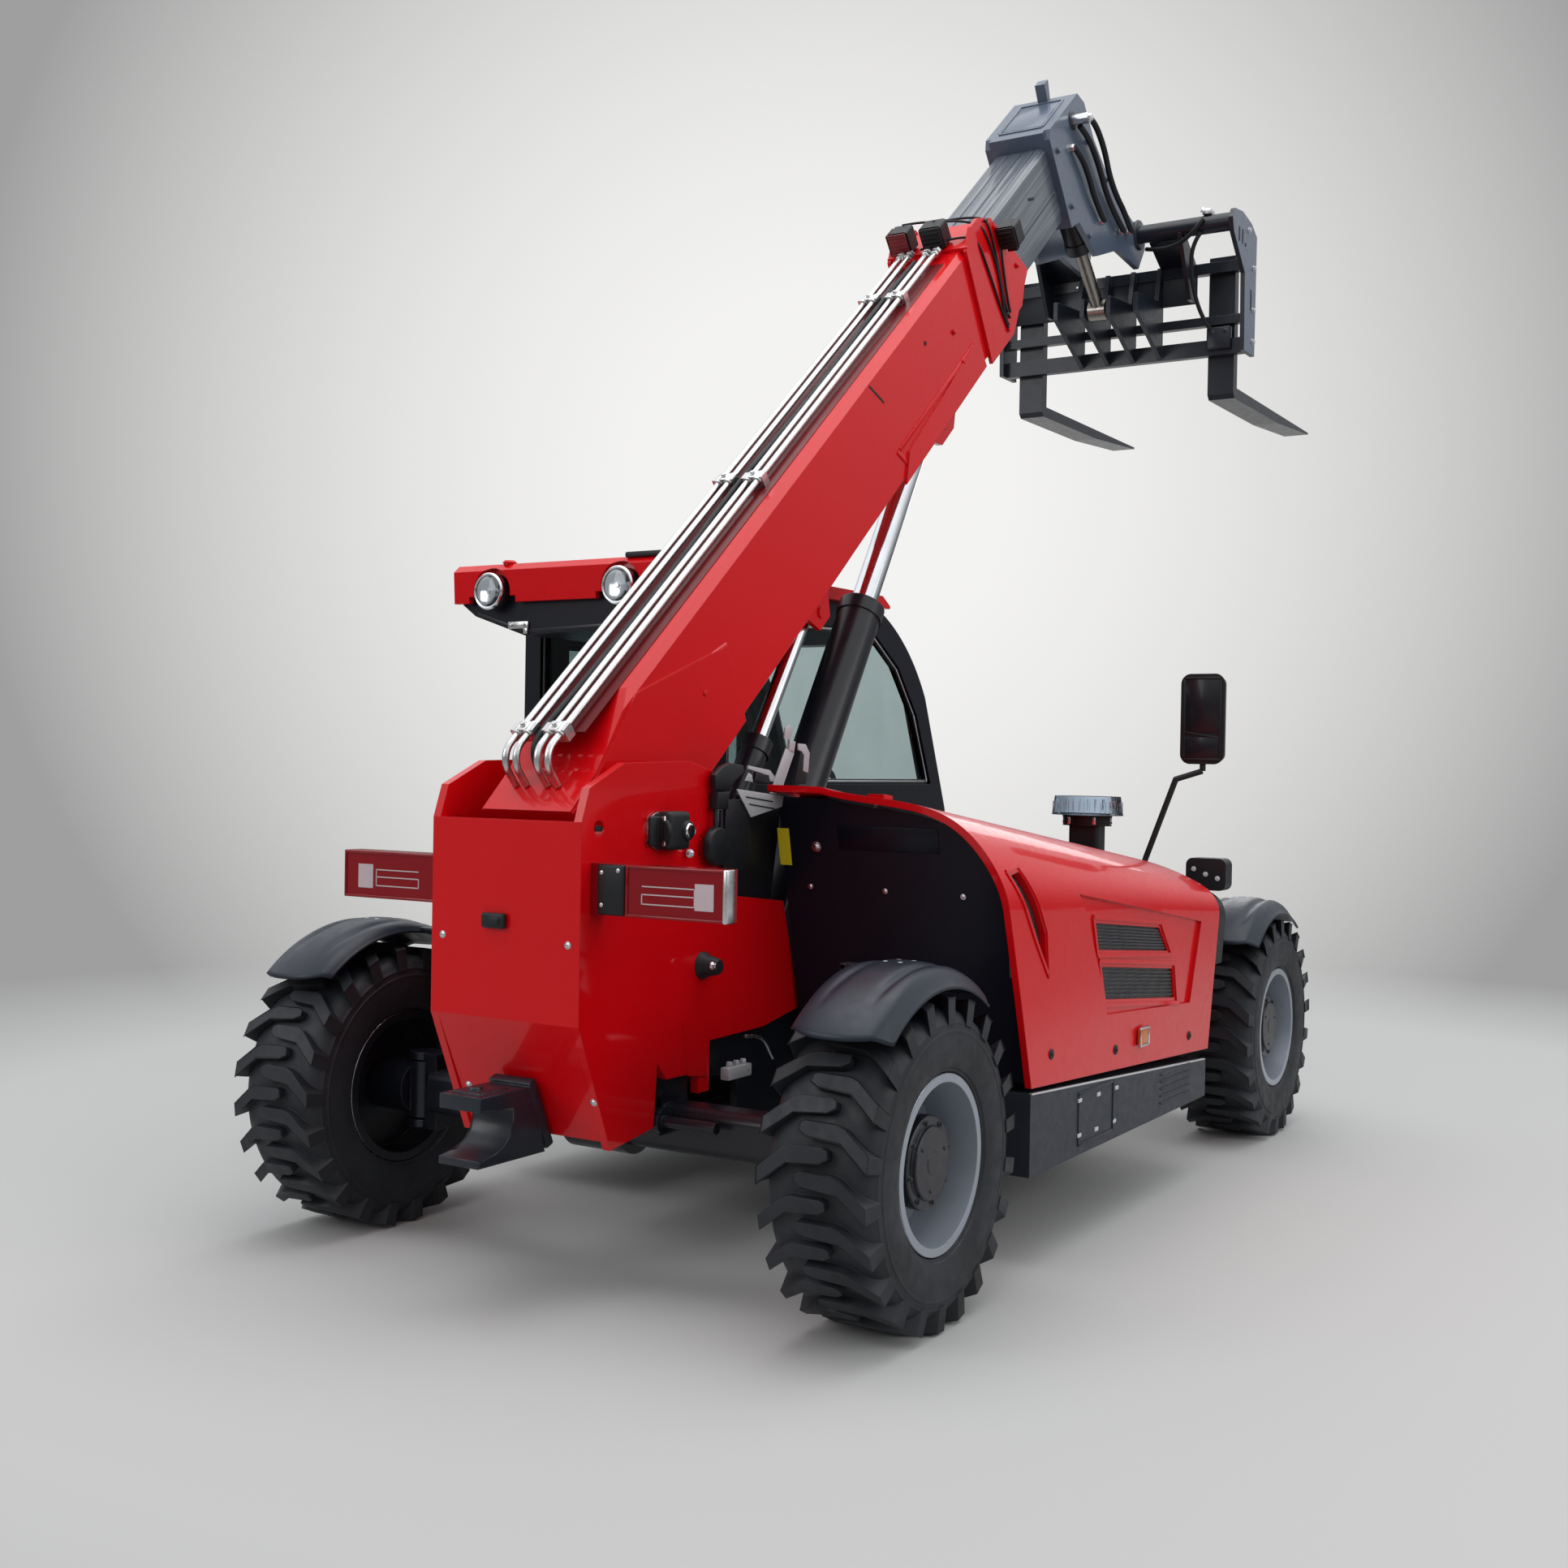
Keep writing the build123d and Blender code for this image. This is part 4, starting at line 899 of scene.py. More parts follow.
for spot, (x, side) in wheel_spots.items():
    shell = make_fender(x, side, spot)
    print("faces outward", check_outward(shell, x, side))
    form = bmesh.new()
    stay_x = x + 0.088
    add_block(form, place_at(stay_x, side * 0.711, axle_height + 0.232), (0.044, 0.018, 0.484), 0.003)
    add_block(form, place_at(stay_x, side * 0.777, axle_height + 0.466), (0.044, 0.150, 0.018), 0.003)
    add_block(form, place_at(stay_x, side * 0.728, axle_height + 0.440), (0.010, 0.034, 0.050), 0.002)
    for lift in (0.0, 0.036):
        add_bolt(form, facing(at(stay_x + 0.001, side * 0.7195, axle_height + 0.004 + lift), (0, side, 0)), 0.015)
    stay = finish_piece("mudguard_stay_" + spot, form, "knuckle_" + spot, black_satin)
    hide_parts("fender_" + spot)
    form = bmesh.new()
    for across in (-22, 20):
        for turn in (6.0, -2.5):
            angle = math.radians(turn)
            normal = Vector((math.sin(angle), 0, math.cos(angle)))
            point = at(x, side * (wheel_out + across / 1000), axle_height) + normal * 0.4985
            add_drum(form, facing(point, normal), 0.0075, 0.0035, 0.0065, 20, 0.001)
    finish_piece("mudguard_caps_" + spot, form, "knuckle_" + spot, pale_label)

# %% [markdown]
# ## Tail fittings
# The tail carries a light bar on each side: a flat red lens with a raised rim and thin pale lines, a
# black mount plate on the near side, and a grey end cap. On the panels sit button-head bolts, a
# plate lamp, a work lamp on a rubber foot, and a pointed stop. Blocks with bevelled edges and small
# drums make them, and each one stands on the surface that carries it.

# %% Light bars
tray_black = paint("tray_black", (0.010, 0.011, 0.013), 0.4, radius=0.002)
bar_red = paint("bar_red", (0.24, 0.003, 0.006), 0.2, 0.6, 0.05, grain=500, grain_depth=0.01,
                radius=0.002, tone=0.03, glint=0.1)
pale_print = paint("pale_print", (0.52, 0.42, 0.44), 0.3, 0.4, 0.1, radius=0.0005, tone=0.12)
lamp_low, lamp_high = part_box("rear_lamps")
bar_back = lamp_low.x
bar_middle = (lamp_low.z + lamp_high.z) / 2
bar_half = (lamp_high.z - lamp_low.z) / 2
print_sunk = -0.0006


def bar_y(px, py=1098):
    return on_tail(px, py, bar_back).y


def bar_place(y, level=0.0, proud=0.0):
    return Matrix.Translation((bar_back + proud, y, bar_middle + level))


def light_bar(name, start, stop, print_from, print_to, square_at):
    """A bar between two sides of the machine, with its rim, printed lines and a pale square."""
    middle, length = (start + stop) / 2, abs(stop - start)
    form = bmesh.new()
    for level in (bar_half - 0.004, 0.004 - bar_half):
        add_block(form, bar_place(middle, level), (0.008, length, 0.008), 0.003, 3)
    for y in (start, stop):
        inward = 0.004 if y < middle else -0.004
        add_block(form, bar_place(y + inward), (0.008, 0.008, 2 * bar_half - 0.004), 0.003, 3)
    finish_piece("light_bar_rim_" + name, form, "chassis", bar_red)
    form = bmesh.new()
    for level in (0.014, -0.006, -0.030):
        add_block(form, bar_place((print_from + print_to) / 2, level, print_sunk),
                  (0.0016, abs(print_to - print_from), 0.0032))
    add_block(form, bar_place(print_from, -0.018, print_sunk), (0.0016, 0.003, 0.027))
    add_block(form, bar_place(print_to, -0.008, print_sunk), (0.0016, 0.003, 0.047))
    add_block(form, bar_place(square_at, -0.005, print_sunk), (0.0018, 0.056, 0.066), 0.0005, 1)
    finish_piece("light_bar_print_" + name, form, "chassis", pale_print)


light_bar("left", lamp_high.y, 0.251, bar_y(516, 1080), bar_y(464, 1078), bar_y(451, 1078))
light_bar("right", bar_y(771), bar_y(896), bar_y(791), bar_y(856), bar_y(868))
form = bmesh.new()
mount_from, mount_to = bar_y(737), bar_y(770)
add_block(form, bar_place((mount_from + mount_to) / 2, 0, 0.006),
          (0.024, abs(mount_to - mount_from), 2 * bar_half - 0.002), 0.006, 3)
finish_piece("light_bar_mount", form, "chassis", tray_black)
form = bmesh.new()
for px, py in ((741.4, 1075), (761.7, 1073), (741, 1115)):
    spot = on_tail(px, py, bar_back - 0.0055)
    add_drum(form, facing(spot, (-1, 0, 0)), 0.0064, 0.0035, 0.005, 16, 0.0008)
finish_piece("light_bar_bolts", form, "chassis", bright_steel)
form = bmesh.new()
cap_start = bar_y(897)
cap_y = (cap_start + lamp_low.y) / 2
add_block(form, bar_place(cap_y, 0, 0.013),
          (0.036, abs(cap_start - lamp_low.y) + 0.002, 2 * bar_half + 0.002), 0.004)
finish_piece("light_bar_cap", form, "chassis", zinc)

# %% Tail bolts
def button_head(form, place, radius):
    add_drum(form, offset(place, 0, 0, -0.0012), radius * 1.35, 0.002, segments=20)
    add_drum(form, place, radius, radius * 0.55, radius * 0.62, 20, radius * 0.15)


form = bmesh.new()
for px, py in ((545.5, 1151), (699.5, 1165), (578, 1336), (731.4, 1358.7)):
    button_head(form, seat(px, py, "tail_box"), 0.0075)
finish_piece("tail_bolts", form, "chassis", bright_steel)

# %% Plate lamp, work lamp and stop
form = bmesh.new()
place = seat(611, 1134, "tail_box")
add_block(form, offset(place, 0, 0, 0.008), (0.076, 0.040, 0.018), 0.006, 3)
add_block(form, offset(place, 0.008, 0, 0.018), (0.036, 0.022, 0.008), 0.003)
finish_piece("plate_lamp_face", form, "chassis", black_plastic)
cheek_face = -0.262
lamp_spot = on_side(828, 1023, cheek_face)
form = bmesh.new()
body_place = Matrix.Translation(lamp_spot)
add_block(form, offset(body_place, -0.012, -0.012, 0), (0.100, 0.052, 0.104), 0.014, 4)
add_drum(form, facing(lamp_spot + Vector((-0.060, -0.004, 0)), (-1, 0, 0)), 0.040, 0.010, 0.036, 40, 0.003)
add_drum(form, facing(lamp_spot + Vector((0.02, -0.036, 0)), (0, -1, 0)), 0.028, 0.010, 0.025, 40, 0.003)
stop_profile = ((0.0, 0.058), (0.019, 0.057), (0.023, 0.051), (0.030, 0.020), (0.037, 0.008), (0.040, 0.0),
                (0.0, 0.0))
for side, boss_size in ((1, (0.120, 0.088, 0.014)), (-1, (0.10, 0.08, 0.012))):
    boss = facing((lift_pivot[0], side * 0.256, lift_pivot[2]), (0, side, 0))
    add_block(form, offset(boss, 0, 0, 0.006), boss_size, 0.006, 3)
    stop = facing(at(-1.370, side * 0.250, 0.855), (0, side, 0))
    add_spun(form, stop, stop_profile, 40)
work_lamp = finish_piece("side_work_lamp", form, "chassis", black_plastic)
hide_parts("tail_fittings")
form = bmesh.new()
add_drum(form, facing(lamp_spot + Vector((0.02, -0.045, 0)), (0, -1, 0)), 0.0215, 0.004, 0.017, 32, 0.0015)
add_block(form, offset(body_place, -0.066, -0.022, 0), (0.008, 0.008, 0.080), 0.002)
finish_piece("side_work_lamp_glass", form, "chassis", reflector)
form = bmesh.new()
for px, py in ((852.3, 1024.7), (849.9, 1051.5)):
    spot = on_side(px, py, cheek_face)
    add_bolt(form, facing(spot, (-0.6, -0.8, 0)), 0.016, 0.010)
stop_tip = on_side(879, 1190, -0.316)
add_drum(form, facing(stop_tip + Vector((0, 0.006, 0)), (0, -1, 0)), 0.0125, 0.008, 0.010, 24, 0.002)
add_drum(form, facing(stop_tip, (0, -1, 0)), 0.008, 0.009, 0.0075, 6, 0.0015)
finish_piece("tail_fasteners", form, "chassis", bright_steel)

# %% [markdown]
# ## Tow hitch
# The hitch is one forged jaw: a thick upper lip, a lower lip and a web that sweeps from one to the
# other, on a sloping back plate with a loose pin. Its side outline is extruded across the machine with
# rounded edges, and it stands for the plain plates of the CAD model.

# %% Jaw
jaw = ((-2.080, 0.572), (-1.880, 0.572), (-1.850, 0.500), (-1.820, 0.392), (-2.080, 0.392), (-2.080, 0.412),
       (-2.020, 0.418), (-1.985, 0.432), (-1.962, 0.456), (-1.950, 0.488), (-1.948, 0.528), (-2.080, 0.534))
form = bmesh.new()
ends = add_side_plate(form, jaw, -0.068, 0.068)
bevel_edges(form, list({e for f in ends for e in f.edges}), 0.004, 3)
back = place_at(-1.840, 0, 0.495) @ Matrix.Rotation(-0.416, 4, "Y")
add_block(form, back, (0.030, 0.138, 0.200), 0.005)
for side in (1, -1):
    for z in (0.440, 0.545):
        lean = -1.862 + (0.572 - z) * 0.44
        add_bolt(form, facing(at(lean, side * 0.052, z), (-0.9, 0, -0.4)), 0.018, 0.010)
add_block(form, place_at(-2.000, 0, 0.5735), (0.110, 0.090, 0.006), 0.002)
add_drum(form, facing(at(-2.020, 0, 0.574), (0, 0, 1)), 0.020, 0.012, 0.017, 32, 0.003)
hitch = finish_piece("hitch_jaw", form, "chassis", dark_slate)
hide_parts("tow_hitch")

# %% [markdown]
# ## Gear beside the pivot
# Between the tail and the bonnet sit a latch, a rod end with its dark drum, a bright guard plate and
# the links of the throttle and locking gear. They are flat sheet parts, so each is an outline read
# off the photograph in one side plane and given the sheet's thickness. Plates near the boom stay
# outside its width, so that it swings past them.

# %% Flat parts by sight
def sight_plate(form, y, thickness, pixels, bevel=0.0015):
    """A plate in a side plane with its outline given in the photograph's pixels."""
    corners = [on_side(px, py, y) for px, py in pixels]
    half = Vector((0, thickness / 2, 0))
    ends = add_prism(form, [c - half for c in corners], [c + half for c in corners])
    if bevel:
        bevel_edges(form, list({e for f in ends for e in f.edges}), bevel)


gear_y = -0.272
link_y = -0.180
form = bmesh.new()
sight_plate(form, gear_y, 0.020, ((879, 973), (878, 955), (888, 944), (897, 940), (913, 943), (914, 951),
                                  (900, 963), (896, 975)), 0.004)
sight_plate(form, gear_y, 0.028, ((880, 976), (893, 976), (893, 997), (879, 997)), 0.003)
drum = on_side(880, 1043, gear_y + 0.004)
add_drum(form, facing(drum, (0, -1, 0)), 0.058, 0.022, 0.052, 40, 0.003)
sight_plate(form, gear_y + 0.004, 0.012, ((893, 985), (912, 985), (921, 1010), (924, 1050), (912, 1072),
                                          (890, 1078)), 0.003)
sight_plate(form, link_y, 0.012, ((985, 924), (989, 930), (987, 950), (993, 953), (991, 966), (978, 965)), 0.002)
sight_plate(form, link_y, 0.012, ((930, 952), (946, 955), (946, 966), (928, 963)), 0.002)
stand = ((-1.180, 0.990), (-0.960, 0.990), (-0.900, 1.330), (-1.120, 1.335))
add_side_plate(form, stand, -0.209, -0.201)
add_block(form, place_at(-1.010, -0.189, 1.312), (0.200, 0.026, 0.030), 0.003)
finish_piece("latch_gear", form, "chassis", tray_black)
form = bmesh.new()
for px in (881.5, 888.5):
    top, foot = on_side(px, 998, gear_y), on_side(px, 1026, gear_y)
    add_drum(form, facing(foot, top - foot), 0.006, (top - foot).length, segments=16)
finish_piece("latch_rods", form, "chassis", dark_slate)
form = bmesh.new()
sight_plate(form, gear_y - 0.008, 0.004, ((907, 972), (965, 981), (963, 994), (925, 1007)), 0.0008)
finish_piece("guard_plate", form, "chassis", plated)
# Two thin black strips on the guard plate are painted shade in its slots.
form = bmesh.new()
sight_plate(form, gear_y - 0.0108, 0.002, ((919, 981), (952, 987), (952, 988.4), (920, 982.8)), 0)
sight_plate(form, gear_y - 0.0108, 0.002, ((923, 990), (955, 996), (954, 997.2), (924, 991.8)), 0)
finish_piece("guard_plate_slot_shade", form, "chassis", tray_black)
form = bmesh.new()
sight_plate(form, link_y, 0.006, ((944, 990), (956, 992), (978, 928), (968, 922)))
sight_plate(form, link_y, 0.006, ((966, 910), (974, 910), (976, 898), (971, 892), (967, 897)))
sight_plate(form, link_y, 0.010, ((972, 911), (979, 914), (977, 927), (971, 924)))
sight_plate(form, link_y - 0.002, 0.006, ((983, 916), (992, 917), (997, 928), (995, 952), (988, 950), (990, 930),
                                          (983, 924)))
sight_plate(form, link_y, 0.006, ((921, 943), (948, 949), (954, 957), (953, 963), (948, 963), (946, 955), (921, 948)))
sight_plate(form, link_y, 0.006, ((918, 962), (922, 952), (926, 955), (927, 964)))
finish_piece("links", form, "chassis", plated)
form = bmesh.new()
label = seat(967, 1043, "engine_liner")
add_block(form, offset(label, 0, 0, 0.001), (0.040, 0.112, 0.002), 0.0006, 1)
finish_piece("yellow_plate", form, "chassis", yellow_label)
# Two overlapping black discs on the cheek are painted shade in an oval slot.
form = bmesh.new()
oval = seat(738, 1021, "tail_box")
add_drum(form, offset(oval, 0, 0, -0.0005), 0.013, 0.002, segments=32)
add_drum(form, offset(oval, 0, -0.012, -0.0005), 0.012, 0.0018, segments=32)
finish_piece("cheek_slot_shade", form, "chassis", tray_black)
form = bmesh.new()
corners = [on_side(px, py, -0.2535) for px, py in ((842, 1258), (872, 1263), (872, 1326), (848, 1326))]
add_prism(form, corners, [c + Vector((0, 0.005, 0)) for c in corners])
finish_piece("cheek_tab", form, "chassis", red_gloss)
bright_pipe = ((918, 1277), (932, 1276), (942, 1282), (948, 1296), (952, 1304))
add_tube("axle_pipe", [on_side(px, py, cheek_face) for px, py in bright_pipe], 0.005, "chassis", zinc)
form = bmesh.new()
block_spot = on_side(907, 1320, -0.275)
add_block(form, Matrix.Translation(block_spot), (0.120, 0.030, 0.036), 0.004)
for shift in (-0.035, 0.0, 0.035):
    add_drum(form, facing(block_spot + Vector((shift, 0, 0.018)), (0, 0, 1)), 0.011, 0.014, 0.009, 6, 0.001)
finish_piece("axle_valve", form, "chassis", plated)

# %% [markdown]
# ## Boom fittings
# Four bright pipes run up the boom in zinc clamps, with one black cable between them. Each clamp is a
# block in the CAD model, and here it gets rounded saddles over the pipes and bolts on top. The cable
# is a tube along smooth control points, and it is tied to the clamps, so it isn't a free cord.

# %% Clamps and cable
form = bmesh.new()
for along in (0.047, 1.287, 2.477):
    for y in (0.068, -0.040):
        for pipe in (-0.018, 0.018):
            saddle = on_boom(along - 0.022, y + pipe, 0.3065) @ Matrix.Rotation(math.pi / 2, 4, "Y")
            add_drum(form, saddle, 0.0155, 0.044, segments=24, bevel=0.002)
        top = on_boom(along, y, 0.320)
        add_block(form, top, (0.036, 0.026, 0.006), 0.002)
        add_bolt(form, offset(top, 0, 0, 0.003), 0.013, 0.008)
finish_piece("pipe_clamps", form, "boom", zinc)
cable = ((-0.030, 0.014, 0.215), (-0.028, 0.014, 0.262), (0.010, 0.016, 0.304), (0.20, 0.014, 0.297),
         (0.60, 0.010, 0.291), (1.0, 0.016, 0.293), (1.287, 0.014, 0.303), (1.7, 0.012, 0.291),
         (2.1, 0.016, 0.292), (2.477, 0.014, 0.303), (2.78, 0.014, 0.296))
add_tube("boom_cable", [boom_frame @ Vector(p) for p in cable], 0.0105, "boom", hose_rubber)

# %% [markdown]
# The pipes end in fittings near the collar, where lamps and a mesh guard stand and thin wires drape
# over the side. Wires are short tubes with their own control points, close to the plates that
# carry them.

# %% Collar fittings
form = bmesh.new()
for y in (0.086, 0.050, -0.022, -0.058):
    for along, radius in ((2.800, 0.0145), (2.822, 0.0165)):
        nut = on_boom(along, y, 0.306) @ Matrix.Rotation(math.pi / 2, 4, "Y")
        add_drum(form, nut, radius, 0.018, segments=6, bevel=0.0015)
finish_piece("pipe_fittings", form, "boom", zinc)
guard_red = mesh_panel("guard_red", (0.20, 0.012, 0.018), 120)
form = bmesh.new()
add_block(form, on_boom(2.856, 0.098, 0.340), (0.006, 0.074, 0.082), 0.0015)
add_block(form, on_boom(2.895, 0.1425, 0.340), (0.070, 0.005, 0.078), 0.0015)
finish_piece("lamp_guard", form, "boom", guard_red)
form = bmesh.new()
for y, along, above, wide in ((-0.032, 2.872, 0.339, 0.090), (-0.205, 3.120, 0.196, 0.080)):
    back = on_boom(along, y, above) @ Matrix.Rotation(-math.pi / 2, 4, "Y")
    add_block(form, offset(back, 0, 0, 0.003), (0.080, wide - 0.008, 0.010), 0.004, 3)
    for reach in (-0.024, -0.008, 0.008, 0.024):
        add_block(form, offset(back, reach, 0, 0.010), (0.004, wide - 0.026, 0.008), 0.001)
    add_block(form, on_boom(along + 0.032, y, above - 0.050), (0.030, 0.040, 0.026), 0.003)
finish_piece("boom_lamp_housings", form, "boom", black_plastic)
form = bmesh.new()
for y, along, above, wide in ((-0.032, 2.936, 0.339, 0.070), (-0.205, 3.184, 0.196, 0.064),
                              (0.098, 2.930, 0.339, 0.064)):
    front = on_boom(along, y, above) @ Matrix.Rotation(math.pi / 2, 4, "Y")
    add_block(form, front, (0.066, wide, 0.006), 0.002)
finish_piece("boom_lamp_lenses", form, "boom", clear_lens)
wire_y = -0.1690
wires = (
    [(2.93, 0.10, 0.384), (2.96, 0.06, 0.374), (2.99, -0.02, 0.352), (3.02, -0.10, 0.340), (3.05, -0.158, 0.318),
     (3.075, wire_y + 0.0005, 0.280), (3.070, wire_y, 0.180), (3.045, wire_y, 0.060), (3.020, wire_y, -0.040),
     (3.035, wire_y, -0.085)],
    [(2.92, -0.03, 0.384), (2.95, -0.06, 0.366), (2.98, -0.11, 0.345), (3.010, -0.158, 0.312),
     (3.030, wire_y, 0.270), (3.050, wire_y, 0.150), (3.030, wire_y, 0.030), (2.990, wire_y, -0.060),
     (3.010, wire_y, -0.100)],
    [(3.125, -0.170, 0.170), (3.105, wire_y, 0.120), (3.085, wire_y, 0.060), (3.060, wire_y, -0.010),
     (3.050, wire_y, -0.070)],
    [(2.88, 0.03, 0.300), (2.90, -0.06, 0.312), (2.93, -0.12, 0.304), (2.955, -0.158, 0.282), (2.960, wire_y, 0.230),
     (2.975, wire_y, 0.100), (2.985, wire_y, -0.040), (3.000, wire_y, -0.110)],
)
for index, wire in enumerate(wires):
    add_tube(f"collar_wire_{index + 1}", [boom_frame @ Vector(p) for p in wire], 0.0045, "boom", hose_rubber)
form = bmesh.new()
for along, above in ((3.060, 0.300), (3.052, 0.110), (3.020, -0.060)):
    add_block(form, on_boom(along, -0.168, above), (0.020, 0.012, 0.010), 0.002)
finish_piece("wire_clips", form, "boom", black_plastic)
form = bmesh.new()
for along, above in ((3.00, -0.115), (3.22, 0.04), (3.12, 0.245), (2.60, 0.09), (2.60, -0.03), (0.52, 0.06)):
    add_bolt(form, boom_frame @ facing((along, -0.1505 if along < 2.9 else -0.1645, above), (0, -1, 0)), 0.016, 0.007)
finish_piece("boom_side_bolts", form, "boom", red_gloss)

# %% [markdown]
# ## Inner boom and head
# The inner boom slides in the outer one, so its paint is rubbed into long pale streaks along its top.
# Stretching the noise along the boom gives those streaks: a Mapping node turns the pattern by the
# boom's angle first. Low strips on top guide the pads.

# %% Streaked paint
def streaked(name, colour, rubbed):
    """Paint rubbed pale in long lines along the boom."""
    finish, tree, shader, place = start_finish(name)
    turned = mapped(tree, place.outputs["Object"], {"Rotation": (0, boom_angle, 0)})
    lines = add_node(tree, "TexNoise")
    set_inputs(lines, {"Scale": 2.0, "Detail": 5})
    tree.links.new(mapped(tree, turned, {"Scale": (0.7, 34, 34)}), lines.inputs["Vector"])
    factor = remap(tree, lines.outputs["Fac"], 0.0, 0.8, 0.46, 0.74)
    tree.links.new(blend_colours(tree, factor, colour, rubbed), shader.inputs["Base Color"])
    tree.links.new(remap(tree, lines.outputs["Fac"], 0.46, 0.26), shader.inputs["Roughness"])
    tree.links.new(bump(tree, lines.outputs["Fac"], 0.12, 0.001, rounded(tree, 0.003)), shader.inputs["Normal"])
    set_inputs(shader, {"Coat Weight": 0.3, "Coat Roughness": 0.15})
    return finish


streaked_slate = streaked("streaked_slate", (0.066, 0.080, 0.104), (0.21, 0.235, 0.27))
dress("boom_inner", streaked_slate)
form = bmesh.new()
for y, wide in ((-0.058, 0.030), (0.0, 0.036), (0.058, 0.030)):
    add_block(form, on_boom(2.46, y, 0.2392), (2.78, wide, 0.0056), 0.002)
finish_piece("slide_strips", form, "extension", streaked_slate)
# Thin black blocks on the inner boom's side, a short slot and a long line, are painted shade.
form = bmesh.new()
add_block(form, on_boom(3.62, -0.1122, 0.135) @ Matrix.Rotation(0.35, 4, "Y"), (0.060, 0.0024, 0.012), 0.001)
add_block(form, on_boom(3.30, -0.1122, 0.050), (1.10, 0.0016, 0.003))
finish_piece("inner_boom_slot_shade", form, "extension", black_plastic)

# %% [markdown]
# The head is a welded nose: two cheeks, a top hatch with a raised frame, and hoses that leave a cross
# pin and run down to the cylinder and the carriage. A hose is a cord: it leaves the pin, bows out
# under its own stiffness and goes back into the head, so each is a curve.

# %% Head fittings
form = bmesh.new()
head_side = 0.142
hatch_along = 4.075
for along, y, length, wide in four_bars(0.140, 0.095, 0.270, 0.190, 0.012):
    add_block(form, on_boom(hatch_along + along, y, 0.3015), (length, wide, 0.006), 0.002)
add_block(form, on_boom(hatch_along, 0, 0.3005), (0.250, 0.172, 0.003), 0.001)
for along, above in ((3.92, 0.20), (3.92, -0.04), (4.02, -0.22), (4.36, -0.12), (4.24, 0.10)):
    for side in (1, -1):
        add_bolt(form, boom_frame @ facing((along, side * head_side, above), (0, side, 0)), 0.020, 0.010)
finish_piece("head_hatch", form, "extension", slate_paint)
form = bmesh.new()
for side in (1, -1):
    spot = boom_frame @ facing((4.570, side * head_side, -0.480), (0, side, 0))
    add_drum(form, spot, 0.068, 0.010, 0.064, 48, 0.002)
    spot = boom_frame @ facing((4.145, side * head_side, 0.232), (0, side, 0))
    add_drum(form, spot, 0.040, 0.006, 0.037, 40, 0.0015)
finish_piece("head_bosses", form, "extension", dark_slate)
form = bmesh.new()
pin = boom_frame @ facing((4.145, -0.216, 0.232), (0, -1, 0))
add_drum(form, pin, 0.019, 0.012, 0.014, 32, 0.002)
finish_piece("nose_pin_end", form, "extension", bright_steel)
hoses = (
    ((4.150, -0.190, 0.232), (4.196, -0.192, 0.222), (4.262, -0.190, 0.150), (4.300, -0.186, 0.030),
     (4.296, -0.182, -0.080), (4.330, -0.178, -0.190), (4.398, -0.172, -0.300), (4.430, -0.168, -0.400)),
    ((4.138, -0.170, 0.205), (4.168, -0.172, 0.170), (4.214, -0.172, 0.080), (4.240, -0.170, -0.030),
     (4.252, -0.168, -0.140), (4.300, -0.166, -0.260), (4.352, -0.166, -0.360)),
    ((4.060, -0.158, 0.150), (4.090, -0.164, 0.100), (4.120, -0.164, 0.010), (4.130, -0.162, -0.110),
     (4.180, -0.160, -0.230)),
)


def free_hose(name, points, radius, body, finish):
    """A hose between two ports: a curve piece."""
    curve = smooth_line(name, points, 8)
    piece = link_object(name, curve)
    bpy.context.view_layer.update()
    drawn = piece.to_mesh()
    piece.to_mesh_clear()
    thicken(curve, radius, 4)
    curve.materials.append(finish)
    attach(piece, body)


for index, hose in enumerate(hoses):
    free_hose(f"head_hose_{index + 1}", [boom_frame @ Vector(p) for p in hose], 0.0125, "extension", hose_rubber)
form = bmesh.new()
for along, y, above in ((4.430, -0.160, -0.400), (4.352, -0.156, -0.360), (4.180, -0.150, -0.230),
                        (4.060, -0.150, 0.150)):
    add_drum(form, boom_frame @ facing((along, y + 0.010, above), (0, -1, 0)), 0.017, 0.018, 0.015, 6, 0.002)
finish_piece("hose_ports", form, "extension", zinc)

# %% [markdown]
# ## Pressings on the outer boom
# The side of the boom has a swept rib over the pivot, a curved pressing under it, a short slot and a
# stiffening edge along its lower side. Tubes sunk to half their depth in the sheet give a rounded
# bead, and thin bevelled blocks give the flat ones.

# %% Beads, slot and edge
side_y = 0.150
beads = (
    ("swept", 0.010, ((0.115, 0.152), (0.249, 0.146), (0.300, 0.196), (0.345, 0.190), (0.413, 0.161), (0.548, 0.138),
                      (0.702, 0.096))),
    ("curved", 0.007, ((0.425, 0.112), (0.447, 0.060), (0.430, 0.010), (0.372, -0.014), (0.300, -0.006))),
)
for label, radius, line in beads:
    for side, hand in ((-1, "right"), (1, "left")):
        points = [boom_frame @ Vector((along, side * (side_y - radius * 0.45), above)) for along, above in line]
        add_tube(f"boom_bead_{label}_{hand}", points, radius, "boom", red_gloss, 8)
form = bmesh.new()
for side in (-1, 1):
    place = on_boom(2.360, side * (side_y + 0.001), -0.026)
    add_block(form, place, (0.760, 0.006, 0.016), 0.002)
    place = on_boom(1.982, side * (side_y + 0.001), -0.056) @ Matrix.Rotation(1.05, 4, "Y")
    add_block(form, place, (0.080, 0.006, 0.016), 0.002)
finish_piece("boom_edge_ribs", form, "boom", red_gloss)
